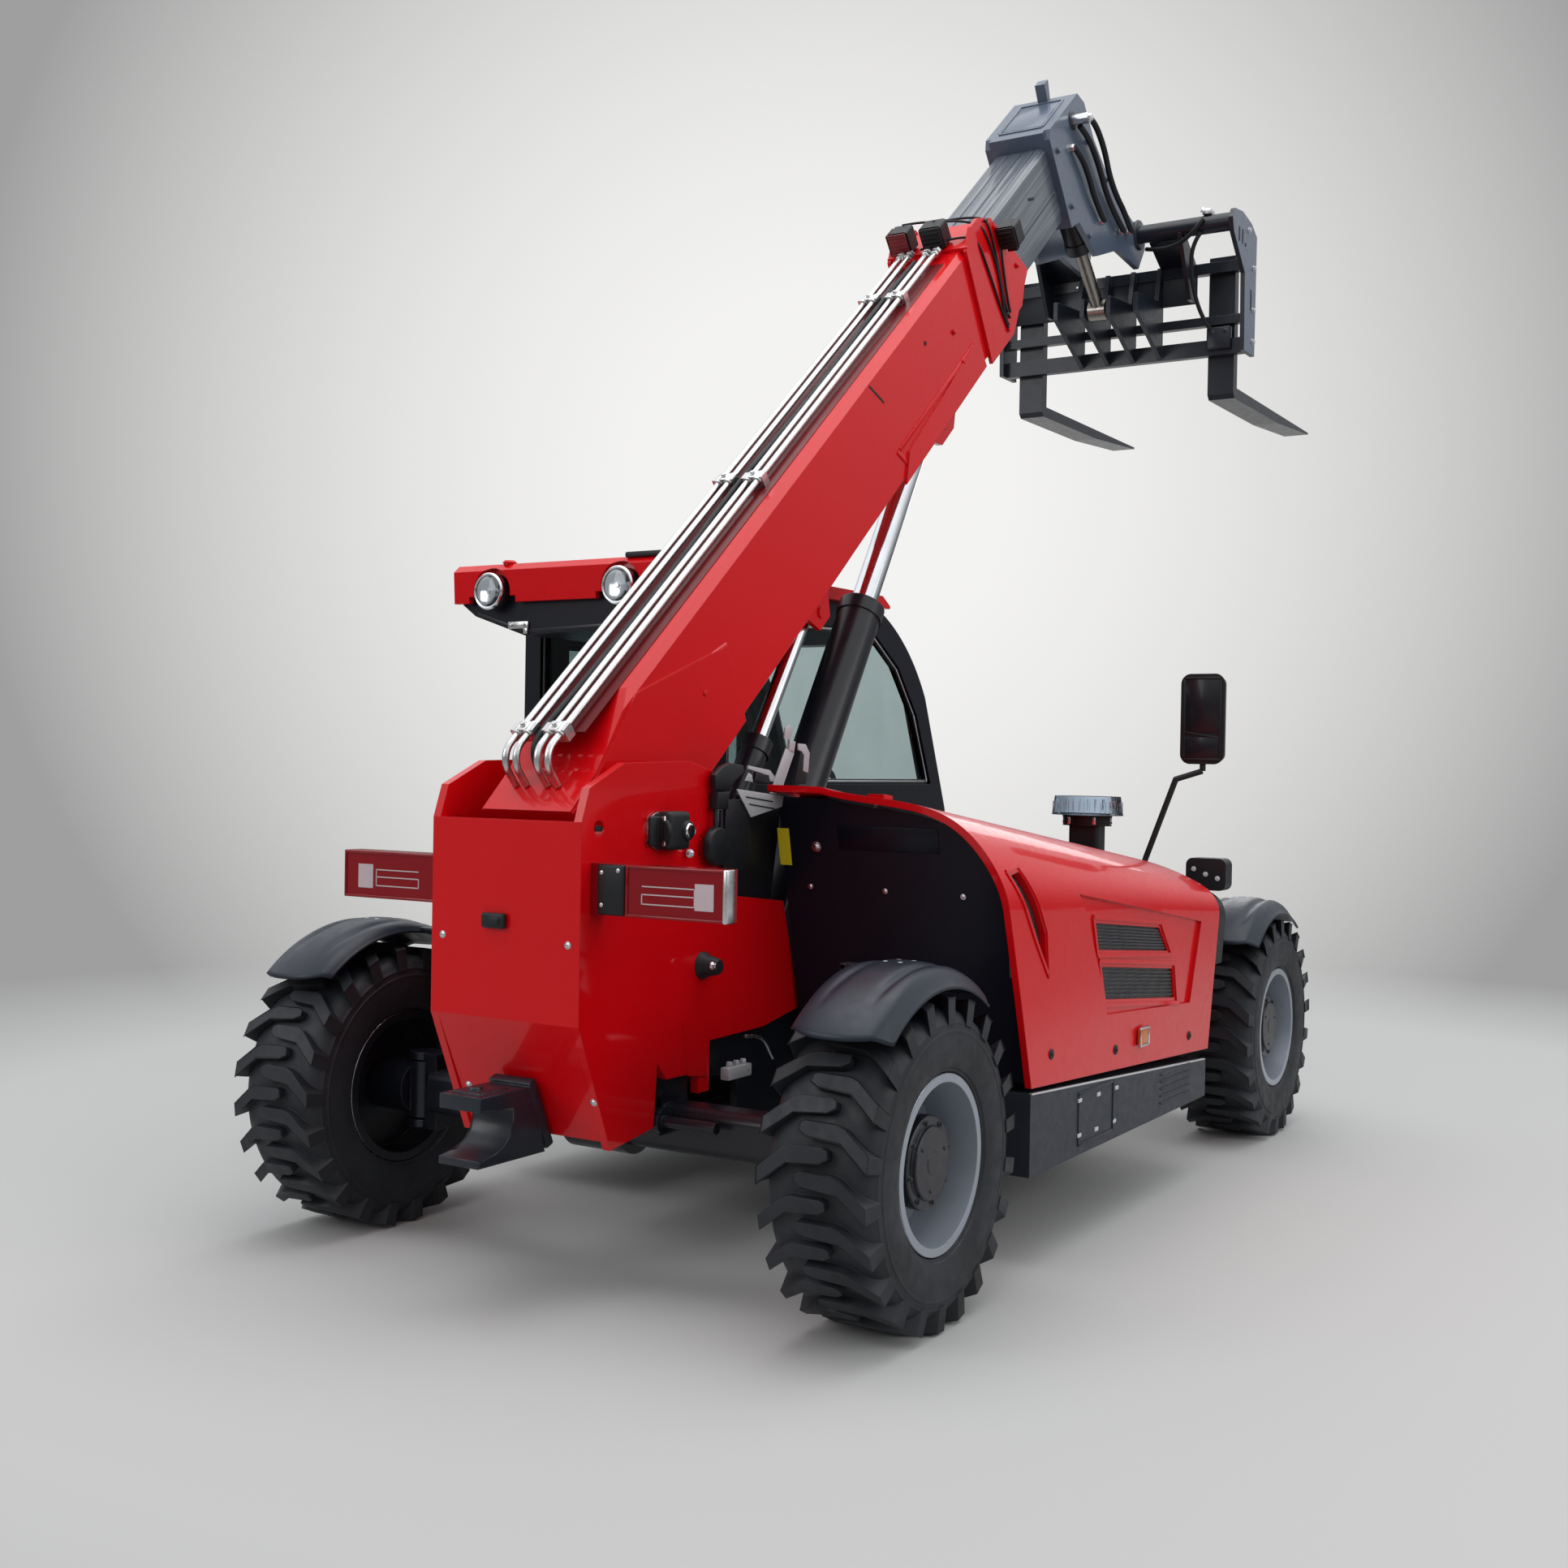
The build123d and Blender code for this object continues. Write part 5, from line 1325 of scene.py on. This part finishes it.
# The slot is a thin black block, painted shade in the groove; the small black disc marks a bolt.
form = bmesh.new()
for side in (-1, 1):
    place = on_boom(1.954, side * (side_y + 0.0002), 0.206) @ Matrix.Rotation(1.03, 4, "Y")
    add_block(form, place, (0.112, 0.002, 0.009), 0.0006, 1)
    add_drum(form, boom_frame @ facing((2.376, side * (side_y - 0.0006), 0.167), (0, side, 0)), 0.008, 0.003,
             segments=20)
finish_piece("boom_slot_shade_and_bolt", form, "boom", tray_black)
# A thin darker red sheet over the boom's top between the pipes is painted shade and painted dark reflection.
painted_shade_red = paint("painted_shade_red", (0.13, 0.0015, 0.004), 0.4, 0.2, 0.15, grain=420, grain_depth=0.02,
                    radius=0.003, tone=0.05, glint=0.15)
form = bmesh.new()
add_block(form, on_boom(1.420, 0.010, 0.2808), (2.700, 0.230, 0.0030), 0.001)
finish_piece("boom_painted_shade_strip", form, "boom", painted_shade_red)

# %% [markdown]
# ## Carriage fittings
# A welded back panel closes the space between the carriage's upper bars, and two gussets tie it to
# the cross tube. Hoses cross from the tube to a small valve block. The outer face of the end plate
# is slate grey with two slots and a hole, as a lighter plate is bolted over it.

# %% Panel, gussets and slots
form = bmesh.new()
add_block(form, place_at(2.370, 0.108, 3.632), (0.010, 0.934, 0.176), 0.002)
gusset = ((2.150, 3.812), (2.224, 3.812), (2.372, 3.716), (2.366, 3.548), (2.300, 3.548))
for y in (-0.345, 0.345):
    add_side_plate(form, gusset, y - 0.009, y + 0.009)
for side in (1, -1):
    slope = place_at(2.285, side * 0.262, 3.762) @ Matrix.Rotation(math.atan2(0.078, 0.150), 4, "Y")
    add_block(form, slope, (0.180, 0.150, 0.010), 0.002)
add_block(form, place_at(2.352, -0.470, 3.372), (0.028, 0.110, 0.100), 0.006, 3)
for y in (-0.440, -0.500):
    add_bolt(form, facing(at(2.339, y, 3.400), (-1, 0, 0)), 0.014, 0.006)
finish_piece("carriage_panel", form, "carriage", dark_slate)
# Thin black blocks and a black disc on the end plate are painted shade in its two slots and its hole.
form = bmesh.new()
for x in (2.2225, 2.2690):
    add_block(form, place_at(x, -0.5955, 3.790), (0.010, 0.003, 0.062), 0.0006, 1)
add_drum(form, facing(at(2.312, -0.5945, 3.764), (0, -1, 0)), 0.009, 0.002, segments=24)
add_block(form, place_at(2.405, -0.5955, 3.540), (0.012, 0.003, 0.090), 0.0006, 1)
finish_piece("carriage_slot_shade", form, "carriage", tray_black)
form = bmesh.new()
for x, z in ((2.440, 3.360), (2.440, 3.500), (2.440, 3.690), (2.360, 3.840)):
    add_bolt(form, facing(at(x, -0.595, z), (0, -1, 0)), 0.020, 0.008)
for y in (-0.18, -0.30, 0.22, 0.40):
    add_bolt(form, facing(at(2.365, y, 3.690), (-1, 0, 0)), 0.014, 0.006)
add_block(form, place_at(2.187, -0.465, 3.890), (0.060, 0.040, 0.026), 0.004)
add_drum(form, facing(at(2.187, -0.440, 3.896), (0, 0, 1)), 0.012, 0.020, 0.010, 20, 0.002)
finish_piece("carriage_bolts", form, "carriage", zinc)
carriage_hoses = (
    ((2.196, -0.178, 3.772), (2.170, -0.215, 3.758), (2.168, -0.300, 3.756), (2.150, -0.375, 3.775),
     (2.130, -0.430, 3.815), (2.140, -0.458, 3.852)),
    ((2.160, -0.440, 3.800), (2.150, -0.405, 3.750), (2.200, -0.385, 3.640), (2.270, -0.390, 3.520),
     (2.325, -0.420, 3.430), (2.346, -0.440, 3.405)),
)
for index, hose in enumerate(carriage_hoses):
    free_hose(f"carriage_hose_{index + 1}", [at(*p) for p in hose], 0.0095, "carriage", hose_rubber)
repaint("carriage", slate_paint, lambda face: face.center.y < -0.58 and face.normal.y < -0.9)
worn_rod = metal("worn_rod", (0.30, 0.275, 0.25), 0.24)
dress("tilt_rod", worn_rod)

# %% [markdown]
# ## Cab
# The roof's red band drops round two work lamps. Each lamp is a chrome bezel, a deep bowl reflector
# and a clear lens, so it is spun in three pieces. A small box and a knob sit on the roof's rear edge,
# and a thin bright strip along the right window, where the pane meets the frame, is a painted highlight.

# %% Roof lamps
bezel_profile = ((0.058, -0.012), (0.061, 0.0), (0.0605, 0.008), (0.056, 0.013), (0.0505, 0.011), (0.049, 0.002))
bezels, bowls, panes = bmesh.new(), bmesh.new(), bmesh.new()
for y in (0.837, 0.313):
    back = facing(at(-1.042, y, 1.966), (-1, 0, 0))
    add_spun(bezels, back, bezel_profile, 48)
    add_spun(bowls, back, ((0.0495, 0.004), (0.040, 0.0022), (0.024, 0.0012), (0.010, 0.0009), (0.0, 0.0008)), 48)
    add_drum(bowls, offset(back, 0, 0, 0.001), 0.009, 0.006, 0.007, 20)
    add_spun(panes, back, ((0.0495, 0.0075), (0.040, 0.0105), (0.022, 0.0128), (0.0, 0.0136)), 48)
finish_piece("roof_lamp_bezels", bezels, "chassis", chrome)
finish_piece("roof_lamp_bowls", bowls, "chassis", reflector)
finish_piece("roof_lamp_lenses", panes, "chassis", clear_lens)
form = bmesh.new()
add_block(form, place_at(-0.975, 0.205, 2.062), (0.10, 0.20, 0.018), 0.006, 3)
add_block(form, place_at(-0.975, 0.130, 2.062), (0.07, 0.05, 0.016), 0.004)
finish_piece("roof_box", form, "chassis", black_plastic)
form = bmesh.new()
knob = facing(at(-1.000, 0.790, 2.054), (0, 0, 1))
roof_knob = ((0.0, 0.016), (0.018, 0.014), (0.024, 0.007), (0.020, 0.002), (0.020, -0.001), (0.0, -0.001))
add_spun(form, knob, roof_knob, 24)
finish_piece("roof_knob", form, "chassis", red_gloss)

# %% Visor and roof lines
form = bmesh.new()
for y in (0.180, 0.982):
    add_block(form, place_at(-0.850, y, 1.972), (0.250, 0.006, 0.040), 0.003)
for y0, z0, y1, z1 in ((0.719, 1.829, 0.930, 1.894), (0.215, 1.847, 0.719, 1.829)):
    middle = place_at(-1.0045, (y0 + y1) / 2, (z0 + z1) / 2 + 0.006)
    slope = math.atan2(z1 - z0, y1 - y0)
    length = math.hypot(y1 - y0, z1 - z0) - 0.02
    add_block(form, middle @ Matrix.Rotation(slope, 4, "X"), (0.003, length, 0.012), 0.001)
finish_piece("visor_lips", form, "chassis", black_satin)
form = bmesh.new()
bracket = at(-1.008, 0.742, 1.856)
add_block(form, Matrix.Translation(bracket), (0.010, 0.085, 0.024), 0.003)
add_block(form, Matrix.Translation(bracket + Vector((0, -0.030, -0.018))), (0.008, 0.018, 0.022), 0.002)
for y in (-0.026, 0.026):
    add_bolt(form, facing(bracket + Vector((-0.005, y, 0)), (-1, 0, 0)), 0.010, 0.005)
finish_piece("visor_bracket", form, "chassis", zinc)

# %% [markdown]
# A black rubber profile seals each pane. A bright line set in the right window's seal is a painted highlight
# of the window's edge. The right window shows most in the photograph, so its seal follows the window's own outline:
# one thin prism a side.

# %% Window seals
window_outline = ((-0.600, 1.350), (-0.600, 1.900), (0.380, 1.930), (0.600, 1.800), (0.760, 1.620), (0.890, 1.350))
pane_outline = ((-0.490, 1.150), (-0.490, 1.830), (0.360, 1.850), (0.560, 1.740), (0.672, 1.580), (0.672, 1.150))


def frame_bars(form, outline, y, width, depth, inset):
    """Straight bars along an outline in a side plane, one for each edge, drawn in by a share of its size."""
    middle_x, middle_z = (sum(values) / len(outline) for values in zip(*outline))
    drawn = [(middle_x + (x - middle_x) * (1 - inset), middle_z + (z - middle_z) * (1 - inset)) for x, z in outline]
    for (x0, z0), (x1, z1) in zip(drawn, drawn[1:] + drawn[:1]):
        turn = Matrix.Rotation(-math.atan2(z1 - z0, x1 - x0), 4, "Y")
        place = place_at((x0 + x1) / 2, y, (z0 + z1) / 2) @ turn
        add_block(form, place, (math.hypot(x1 - x0, z1 - z0) + width * 0.8, depth, width), min(width, depth) * 0.3)


form = bmesh.new()
frame_bars(form, window_outline, 0.213, 0.030, 0.010, 0.012)
finish_piece("right_window_seal", form, "chassis", hose_rubber)
# A thin bright steel line inside the right window's seal: painted highlight of the window's edge.
form = bmesh.new()
frame_bars(form, window_outline, 0.2065, 0.007, 0.005, 0.035)
finish_piece("right_window_edge_highlight", form, "chassis", bright_steel)
form = bmesh.new()
frame_bars(form, pane_outline, 0.981, 0.028, 0.008, 0.014)
finish_piece("door_seal", form, "door", hose_rubber)
form = bmesh.new()
for y, z, wide, high in four_bars(0.314, 0.273, 0.640, 0.560, 0.024):
    add_block(form, place_at(-0.684, 0.590 + y, 1.625 + z), (0.012, wide, high), 0.003)
finish_piece("rear_window_seal", form, "chassis", hose_rubber)
form = bmesh.new()
handle = at(0.600, 0.982, 1.085)
add_block(form, Matrix.Translation(handle), (0.130, 0.004, 0.060), 0.0015)
add_block(form, Matrix.Translation(handle + Vector((0.01, 0.002, 0.008))), (0.090, 0.006, 0.020), 0.0025)
add_drum(form, facing(handle + Vector((-0.045, 0.001, 0)), (0, 1, 0)), 0.011, 0.003, segments=24)
finish_piece("door_handle", form, "door", black_plastic)
form = bmesh.new()
add_bolt(form, facing(at(-0.6895, 0.655, 1.700) - Vector((0.001, 0, 0)), (-1, 0, 0)), 0.014, 0.006)
for z in (1.280, 1.100, 0.860):
    for y in (0.260, 0.920):
        add_bolt(form, facing(at(-0.6905, y, z), (-1, 0, 0)), 0.016, 0.007)
finish_piece("cab_bolts", form, "chassis", zinc)

# %% [markdown]
# ## Seat and controls
# The operator's seat is foam under cloth. A finely divided block, swollen in the middle and drawn in
# at its edges, gives the cushion and the backrest, which stand for the plain seat solid.
# The base under them stays hard. Inside the steering wheel's ring sits a small hub.

# %% Padded seat
def cloth(name, colour):
    """Woven cloth with a soft sheen."""
    finish, tree, shader, place = start_finish(name)
    weave = add_node(tree, "TexWave")
    set_inputs(weave, {"Scale": 180, "Distortion": 1.5})
    tree.links.new(place.outputs["Object"], weave.inputs["Vector"])
    soft = noise(tree, place, 14)
    tree.links.new(blend_colours(tree, soft, colour, shade(colour, 1.6)), shader.inputs["Base Color"])
    tree.links.new(bump(tree, weave.outputs["Fac"], 0.25, 0.0006), shader.inputs["Normal"])
    set_inputs(shader, {"Roughness": 0.85, "Sheen Weight": 0.4})
    return finish


seat_cloth = cloth("seat_cloth", (0.020, 0.021, 0.024))
seat_y = 0.595
bolster = 0.02


def cushion(name, middle, size, crown, lean=0.0):
    """A soft block: a grid wrapped round a rounded box, swollen in the middle, with raised sides."""
    form = bmesh.new()
    bmesh.ops.create_cube(form, size=1.0)
    bmesh.ops.subdivide_edges(form, edges=form.edges[:], cuts=15, use_grid_fill=True)
    half = Vector(size) / 2
    for vert in form.verts:
        u, v, w = (2 * c for c in vert.co)
        roundness = 1 - 0.055 * (abs(u) ** 6 + abs(v) ** 6) * (1 if abs(w) > 0.5 else 0.4)
        swell = crown * (1 - u * u) * (1 - v * v)
        edge = bolster * (abs(v) ** 4) * (1 - abs(v) ** 10)
        seam = 0.006 * math.exp(-((abs(v) - 0.62) / 0.05) ** 2)
        x, y = u * half.x * roundness, v * half.y * roundness
        z = w * half.z * (1 - 0.10 * (abs(u) ** 8 + abs(v) ** 8))
        if w > 0:
            z += (swell + edge - seam) * w
        vert.co = (x, y, z)
    place = Matrix.Translation(middle) @ Matrix.Rotation(lean, 4, "Y")
    piece = finish_piece(name, form, "chassis", seat_cloth, 80, place)
    return piece


seat_cushion = cushion("seat_cushion", at(-0.175, seat_y, 1.155), (0.460, 0.450, 0.100), 0.016)
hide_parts("seat")
cushion("seat_back", at(-0.410, seat_y, 1.455), (0.500, 0.440, 0.090), 0.014, math.radians(84))
form = bmesh.new()
add_block(form, place_at(-0.200, seat_y, 0.945), (0.430, 0.350, 0.310), 0.030, 3)
add_block(form, place_at(-0.440, seat_y, 1.240), (0.040, 0.220, 0.260), 0.010)
for side in (1, -1):
    add_block(form, place_at(-0.210, seat_y + side * 0.230, 1.215), (0.300, 0.004, 0.030), 0.0015)
finish_piece("seat_base", form, "chassis", black_plastic)

# %% Steering wheel hub and levers
form = bmesh.new()
wheel_tilt = Vector((-0.6, 0, 0.8))
hub = facing(at(0.470, 0.590, 1.300) + wheel_tilt * 0.010, wheel_tilt)
add_spun(form, hub, ((0.0, 0.016), (0.034, 0.014), (0.048, 0.006), (0.050, -0.004), (0.0, -0.004)), 32)
for turn in (0, 120, 240):
    spoke = hub @ Matrix.Rotation(math.radians(turn), 4, "Z") @ Matrix.Translation((0.100, 0, 0))
    add_block(form, spoke, (0.130, 0.022, 0.010), 0.004)
finish_piece("steering_hub", form, "chassis", black_plastic)
form = bmesh.new()
stick = facing(at(0.05, 0.330, 1.010), (-0.12, 0, 1))
add_drum(form, stick, 0.030, 0.040, 0.014, 24, 0.004)
add_drum(form, offset(stick, 0, 0, 0.03), 0.008, 0.160, segments=16)
knob_profile = ((0.0, 0.055), (0.016, 0.050), (0.022, 0.030), (0.017, 0.008), (0.010, 0.0), (0.0, 0.0))
add_spun(form, offset(stick, 0, 0, 0.18), knob_profile, 24)
add_block(form, place_at(0.02, 0.320, 0.900), (0.360, 0.120, 0.220), 0.018, 3)
finish_piece("control_lever", form, "chassis", black_plastic)

# %% [markdown]
# ## Bonnet
# The bonnet's openings are edged with a raised lip, and the slats behind them sit in a fine mesh. Its
# surface rolls over, so the lips can't be flat: short bars are cast onto the CAD skin from the right
# side, and each joins the next where the surface takes it.

# %% Raised frames
def skin_point(x, z):
    """Where a line from the right meets the bonnet's outer skin."""
    found, normal = tree_of("bonnet").ray_cast(at(x, -1.6, z), Vector((0, 1, 0)))[:2]
    if found is None:
        raise ValueError(f"nothing of the bonnet at {x}, {z}")
    return found, -normal if normal.y > 0 else normal


def grow(outline, by):
    """The same outline with each edge moved outward by the same distance."""
    corners = [Vector(p) for p in outline]
    turned = sum(a.x * b.y - b.x * a.y for a, b in zip(corners, corners[1:] + corners[:1]))
    outward = 1 if turned > 0 else -1
    grown = []
    for before, corner, after in zip(corners[-1:] + corners[:-1], corners, corners[1:] + corners[:1]):
        run_in, run_out = (corner - before).normalized(), (after - corner).normalized()
        side_in = Vector((run_in.y, -run_in.x)) * outward
        side_out = Vector((run_out.y, -run_out.x)) * outward
        mitre = (side_in + side_out).normalized()
        moved = corner + mitre * min(by / max(mitre.dot(side_in), 0.3), by * 2.2)
        grown.append((moved.x, moved.y))
    return grown


strip_steps = 10
strip_sunk = 0.001


def laid_strip(form, start, stop, width, height):
    """A thin bar that follows the skin between two side-view points."""
    rows = []
    run = Vector((stop[0] - start[0], stop[1] - start[1])).normalized()
    across = Vector((-run.y, run.x)) * (width / 2)
    for index in range(strip_steps + 1):
        x = start[0] + (stop[0] - start[0]) * index / strip_steps
        z = start[1] + (stop[1] - start[1]) * index / strip_steps
        low, n0 = skin_point(x - across.x, z - across.y)
        high, n1 = skin_point(x + across.x, z + across.y)
        corners = (low - n0 * strip_sunk, low + n0 * height, high + n1 * height, high - n1 * strip_sunk)
        rows.append([form.verts.new(c) for c in corners])
    for one, two in zip(rows, rows[1:]):
        for k in range(4):
            form.faces.new((one[k], one[(k + 1) % 4], two[(k + 1) % 4], two[k]))
    form.faces.new(rows[0])
    form.faces.new(rows[-1][::-1])


def laid_frame(form, outline, width, height):
    for first, second in zip(outline, outline[1:] + outline[:1]):
        laid_strip(form, first, second, width, height)


grille_outlines = (
    ((-0.352, 0.950), (0.190, 0.899), (0.281, 0.815), (-0.325, 0.866)),
    ((-0.300, 0.812), (0.334, 0.750), (0.372, 0.648), (-0.264, 0.708)),
)
slit_outline = ((-0.930, 1.120), (-0.866, 1.128), (-0.752, 0.948), (-0.742, 0.850), (-0.800, 0.930))
form = bmesh.new()
for outline in grille_outlines:
    laid_frame(form, grow(outline, 0.018), 0.014, 0.005)
finish_piece("grille_frames", form, "bonnet", red_gloss)
form = bmesh.new()
laid_frame(form, grow(slit_outline, 0.014), 0.011, 0.004)
finish_piece("slit_frame", form, "bonnet", red_gloss)

# %% [markdown]
# The amber side marker is a small lens in a chrome frame, low on the bonnet's side. Small round
# catches with a hexagon fasten the lower edge, each standing square on the skin.

# %% Side marker and catches
marker = place_at(0.027, -1.0255, 0.560)
form = bmesh.new()
for x, z, wide, high in four_bars(0.037, 0.028, 0.078, 0.058, 0.007):
    add_block(form, offset(marker, x, -0.001, z), (wide, 0.010, high), 0.002)
finish_piece("side_marker_frame", form, "bonnet", chrome)
form = bmesh.new()
add_block(form, offset(marker, 0, 0.004, 0), (0.070, 0.014, 0.050), 0.004, 3)
finish_piece("side_marker_lens", form, "bonnet", amber_lens)
form = bmesh.new()
for x, z in ((-0.72, 0.60), (-0.20, 0.545), (0.52, 0.50)):
    spot, normal = skin_point(x, z)
    add_drum(form, facing(spot, normal), 0.016, 0.004, 0.014, 32, 0.001)
    add_drum(form, facing(spot + normal * 0.004, normal), 0.006, 0.003, segments=6)
finish_piece("bonnet_catches", form, "bonnet", black_plastic)

# %% [markdown]
# The dark liner behind the bonnet's rear edge carries a row of button heads and a faint raised panel.
# The liner leans, so each fitting takes the slope of the face that it stands on.

# %% Liner fittings
form = bmesh.new()
for px, py, radius in ((999, 1092, 0.0065), (1091, 1098, 0.0065), (1187, 1105, 0.0065), (1006, 1043, 0.012)):
    place = seat(px, py, "engine_liner")
    add_drum(form, place, radius * 1.3, 0.002, segments=24)
    add_drum(form, offset(place, 0, 0, 0.001), radius, radius * 0.6, radius * 0.55, 20, 0.001)
finish_piece("liner_bolts", form, "chassis", bright_steel)
form = bmesh.new()
first, second = sight(1030, 1016, "engine_liner")[0], sight(1157, 1052, "engine_liner")[0]
middle = (first + second) / 2
tilt = seat((1030 + 1157) / 2, 1034, "engine_liner")
local = tilt.to_3x3().inverted()
reach = local @ (second - first)
add_block(form, offset(tilt, 0, 0, 0.0006), (abs(reach.x), abs(reach.y), 0.003), 0.0012)
finish_piece("liner_panel", form, "chassis", liner_black)

# %% [markdown]
# The skirt under the bonnet has a pale seam along its top, a square recess with small clips round
# it, and a louvre further forward.

# %% Skirt details
skirt_face = -1.020
form = bmesh.new()
seam_from, seam_to = Vector((-0.852, 0.5035)), Vector((0.664, 0.4005))
run = seam_to - seam_from
seam_middle = (seam_from + seam_to) / 2
slope = Matrix.Rotation(-math.atan2(run.y, run.x), 4, "Y")
place = place_at(seam_middle.x, skirt_face + 0.004, seam_middle.y) @ slope
add_block(form, place, (run.length, 0.010, 0.005), 0.001)
finish_piece("skirt_seam", form, "chassis", pale_label)
form = bmesh.new()
for x, z, wide, high in four_bars(0.140, 0.076, 0.285, 0.160, 0.010):
    add_block(form, place_at(-0.365 + x, skirt_face - 0.0005, 0.376 + z), (wide, 0.006, high), 0.0015)
for z in (0.410, 0.386, 0.362, 0.338, 0.314):
    louvre = place_at(0.350, skirt_face - 0.001, z) @ Matrix.Rotation(0.5, 4, "X")
    add_block(form, louvre, (0.290, 0.010, 0.004), 0.001)
finish_piece("skirt_recess", form, "chassis", skirt_grey)
form = bmesh.new()
for x, z in ((-0.499, 0.433), (-0.350, 0.429), (-0.200, 0.427), (-0.500, 0.329), (-0.364, 0.325), (-0.216, 0.325)):
    add_block(form, place_at(x, skirt_face - 0.0015, z), (0.026, 0.005, 0.012), 0.0015)
finish_piece("skirt_clips", form, "chassis", pale_label)

# %% [markdown]
# ## Front fittings
# The beacon has a bluish clear dome over a black foot, with small clips. The mirror's shell
# carries dark glass in a slanting frame. The front lamp is a black box with three pale rounds, and
# a short neck carries it on the cowl.

# %% Beacon, mirror and front lamp
beacon = place_at(0.890, -0.470, 1.245)
form = bmesh.new()
for side in (1, -1):
    add_block(form, offset(beacon, 0, side * 0.092, -0.016), (0.016, 0.010, 0.040), 0.003)
    add_block(form, offset(beacon, -0.058, side * 0.050, -0.020), (0.008, 0.014, 0.030), 0.002)
finish_piece("beacon_clips", form, "chassis", zinc)
form = bmesh.new()
ring_turns = [2 * math.pi * k / 48 for k in range(48)]
for level in (-0.030, -0.008):
    ring = [beacon @ Vector((0.0615 * math.cos(a), 0.0975 * math.sin(a), level)) for a in ring_turns]
    add_prism(form, ring, [p + Vector((0, 0, 0.006)) for p in ring])
finish_piece("beacon_rings", form, "chassis", black_plastic)
dome_blue = clear("dome_blue", (0.50, 0.62, 0.76), 0.06)
dome_foot = 1.2455
repaint("beacon", dome_blue, lambda face: face.center.z > dome_foot)
form = bmesh.new()
rib_count = 40
for k in range(rib_count):
    turn = 2 * math.pi * k / rib_count
    rib = offset(beacon, 0.0865 * math.cos(turn), 0.1365 * math.sin(turn), 0.030)
    add_block(form, rib @ Matrix.Rotation(turn, 4, "Z"), (0.004, 0.003, 0.044), 0.001)
finish_piece("beacon_ribs", form, "chassis", clear_lens)
mirror = place_at(0.9095, -0.905, 1.612)
form = bmesh.new()
for y, z, wide, high in four_bars(0.068, 0.150, 0.140, 0.290, 0.010):
    add_block(form, offset(mirror, 0, y, z), (0.008, wide, high), 0.003)
add_block(form, offset(mirror, 0, 0, -0.060) @ Matrix.Rotation(0.16, 4, "X"), (0.007, 0.136, 0.008), 0.002)
finish_piece("mirror_rim", form, "chassis", black_plastic)
form = bmesh.new()
for level, high in ((0.048, 0.196), (-0.106, 0.078)):
    add_block(form, offset(mirror, 0.0006, 0, level), (0.005, 0.132, high), 0.0015)
mirror_glass = paint("mirror_glass", (0.012, 0.014, 0.018), 0.22, 0.15, 0.1, grain_depth=0.0, radius=0.001, glint=0.2)
finish_piece("mirror_glass", form, "chassis", mirror_glass)
lamp_spot = at(0.905, -0.930, 1.040)
form = bmesh.new()
for y, z in ((0.045, 0.018), (0.0, 0.0), (-0.045, -0.014)):
    place = facing(lamp_spot + Vector((0, y, z)), (-1, 0, 0))
    add_drum(form, place, 0.010, 0.004, 0.008, 20, 0.001)
finish_piece("front_lamp_rounds", form, "chassis", pale_label)
form = bmesh.new()
add_block(form, place_at(0.9835, -0.930, 1.040), (0.006, 0.130, 0.096), 0.010, 3)
finish_piece("front_lamp_lens", form, "chassis", clear_lens)
form = bmesh.new()
for k in range(7):
    add_block(form, place_at(0.9855, -0.984 + 0.018 * k, 1.040), (0.004, 0.003, 0.086), 0.001)
finish_piece("front_lamp_ribs", form, "chassis", clear_lens)
# %% Close
low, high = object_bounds()
bpy.context.scene.view_settings.view_transform = "Standard"
print("visual size", [round(v, 3) for v in high - low])
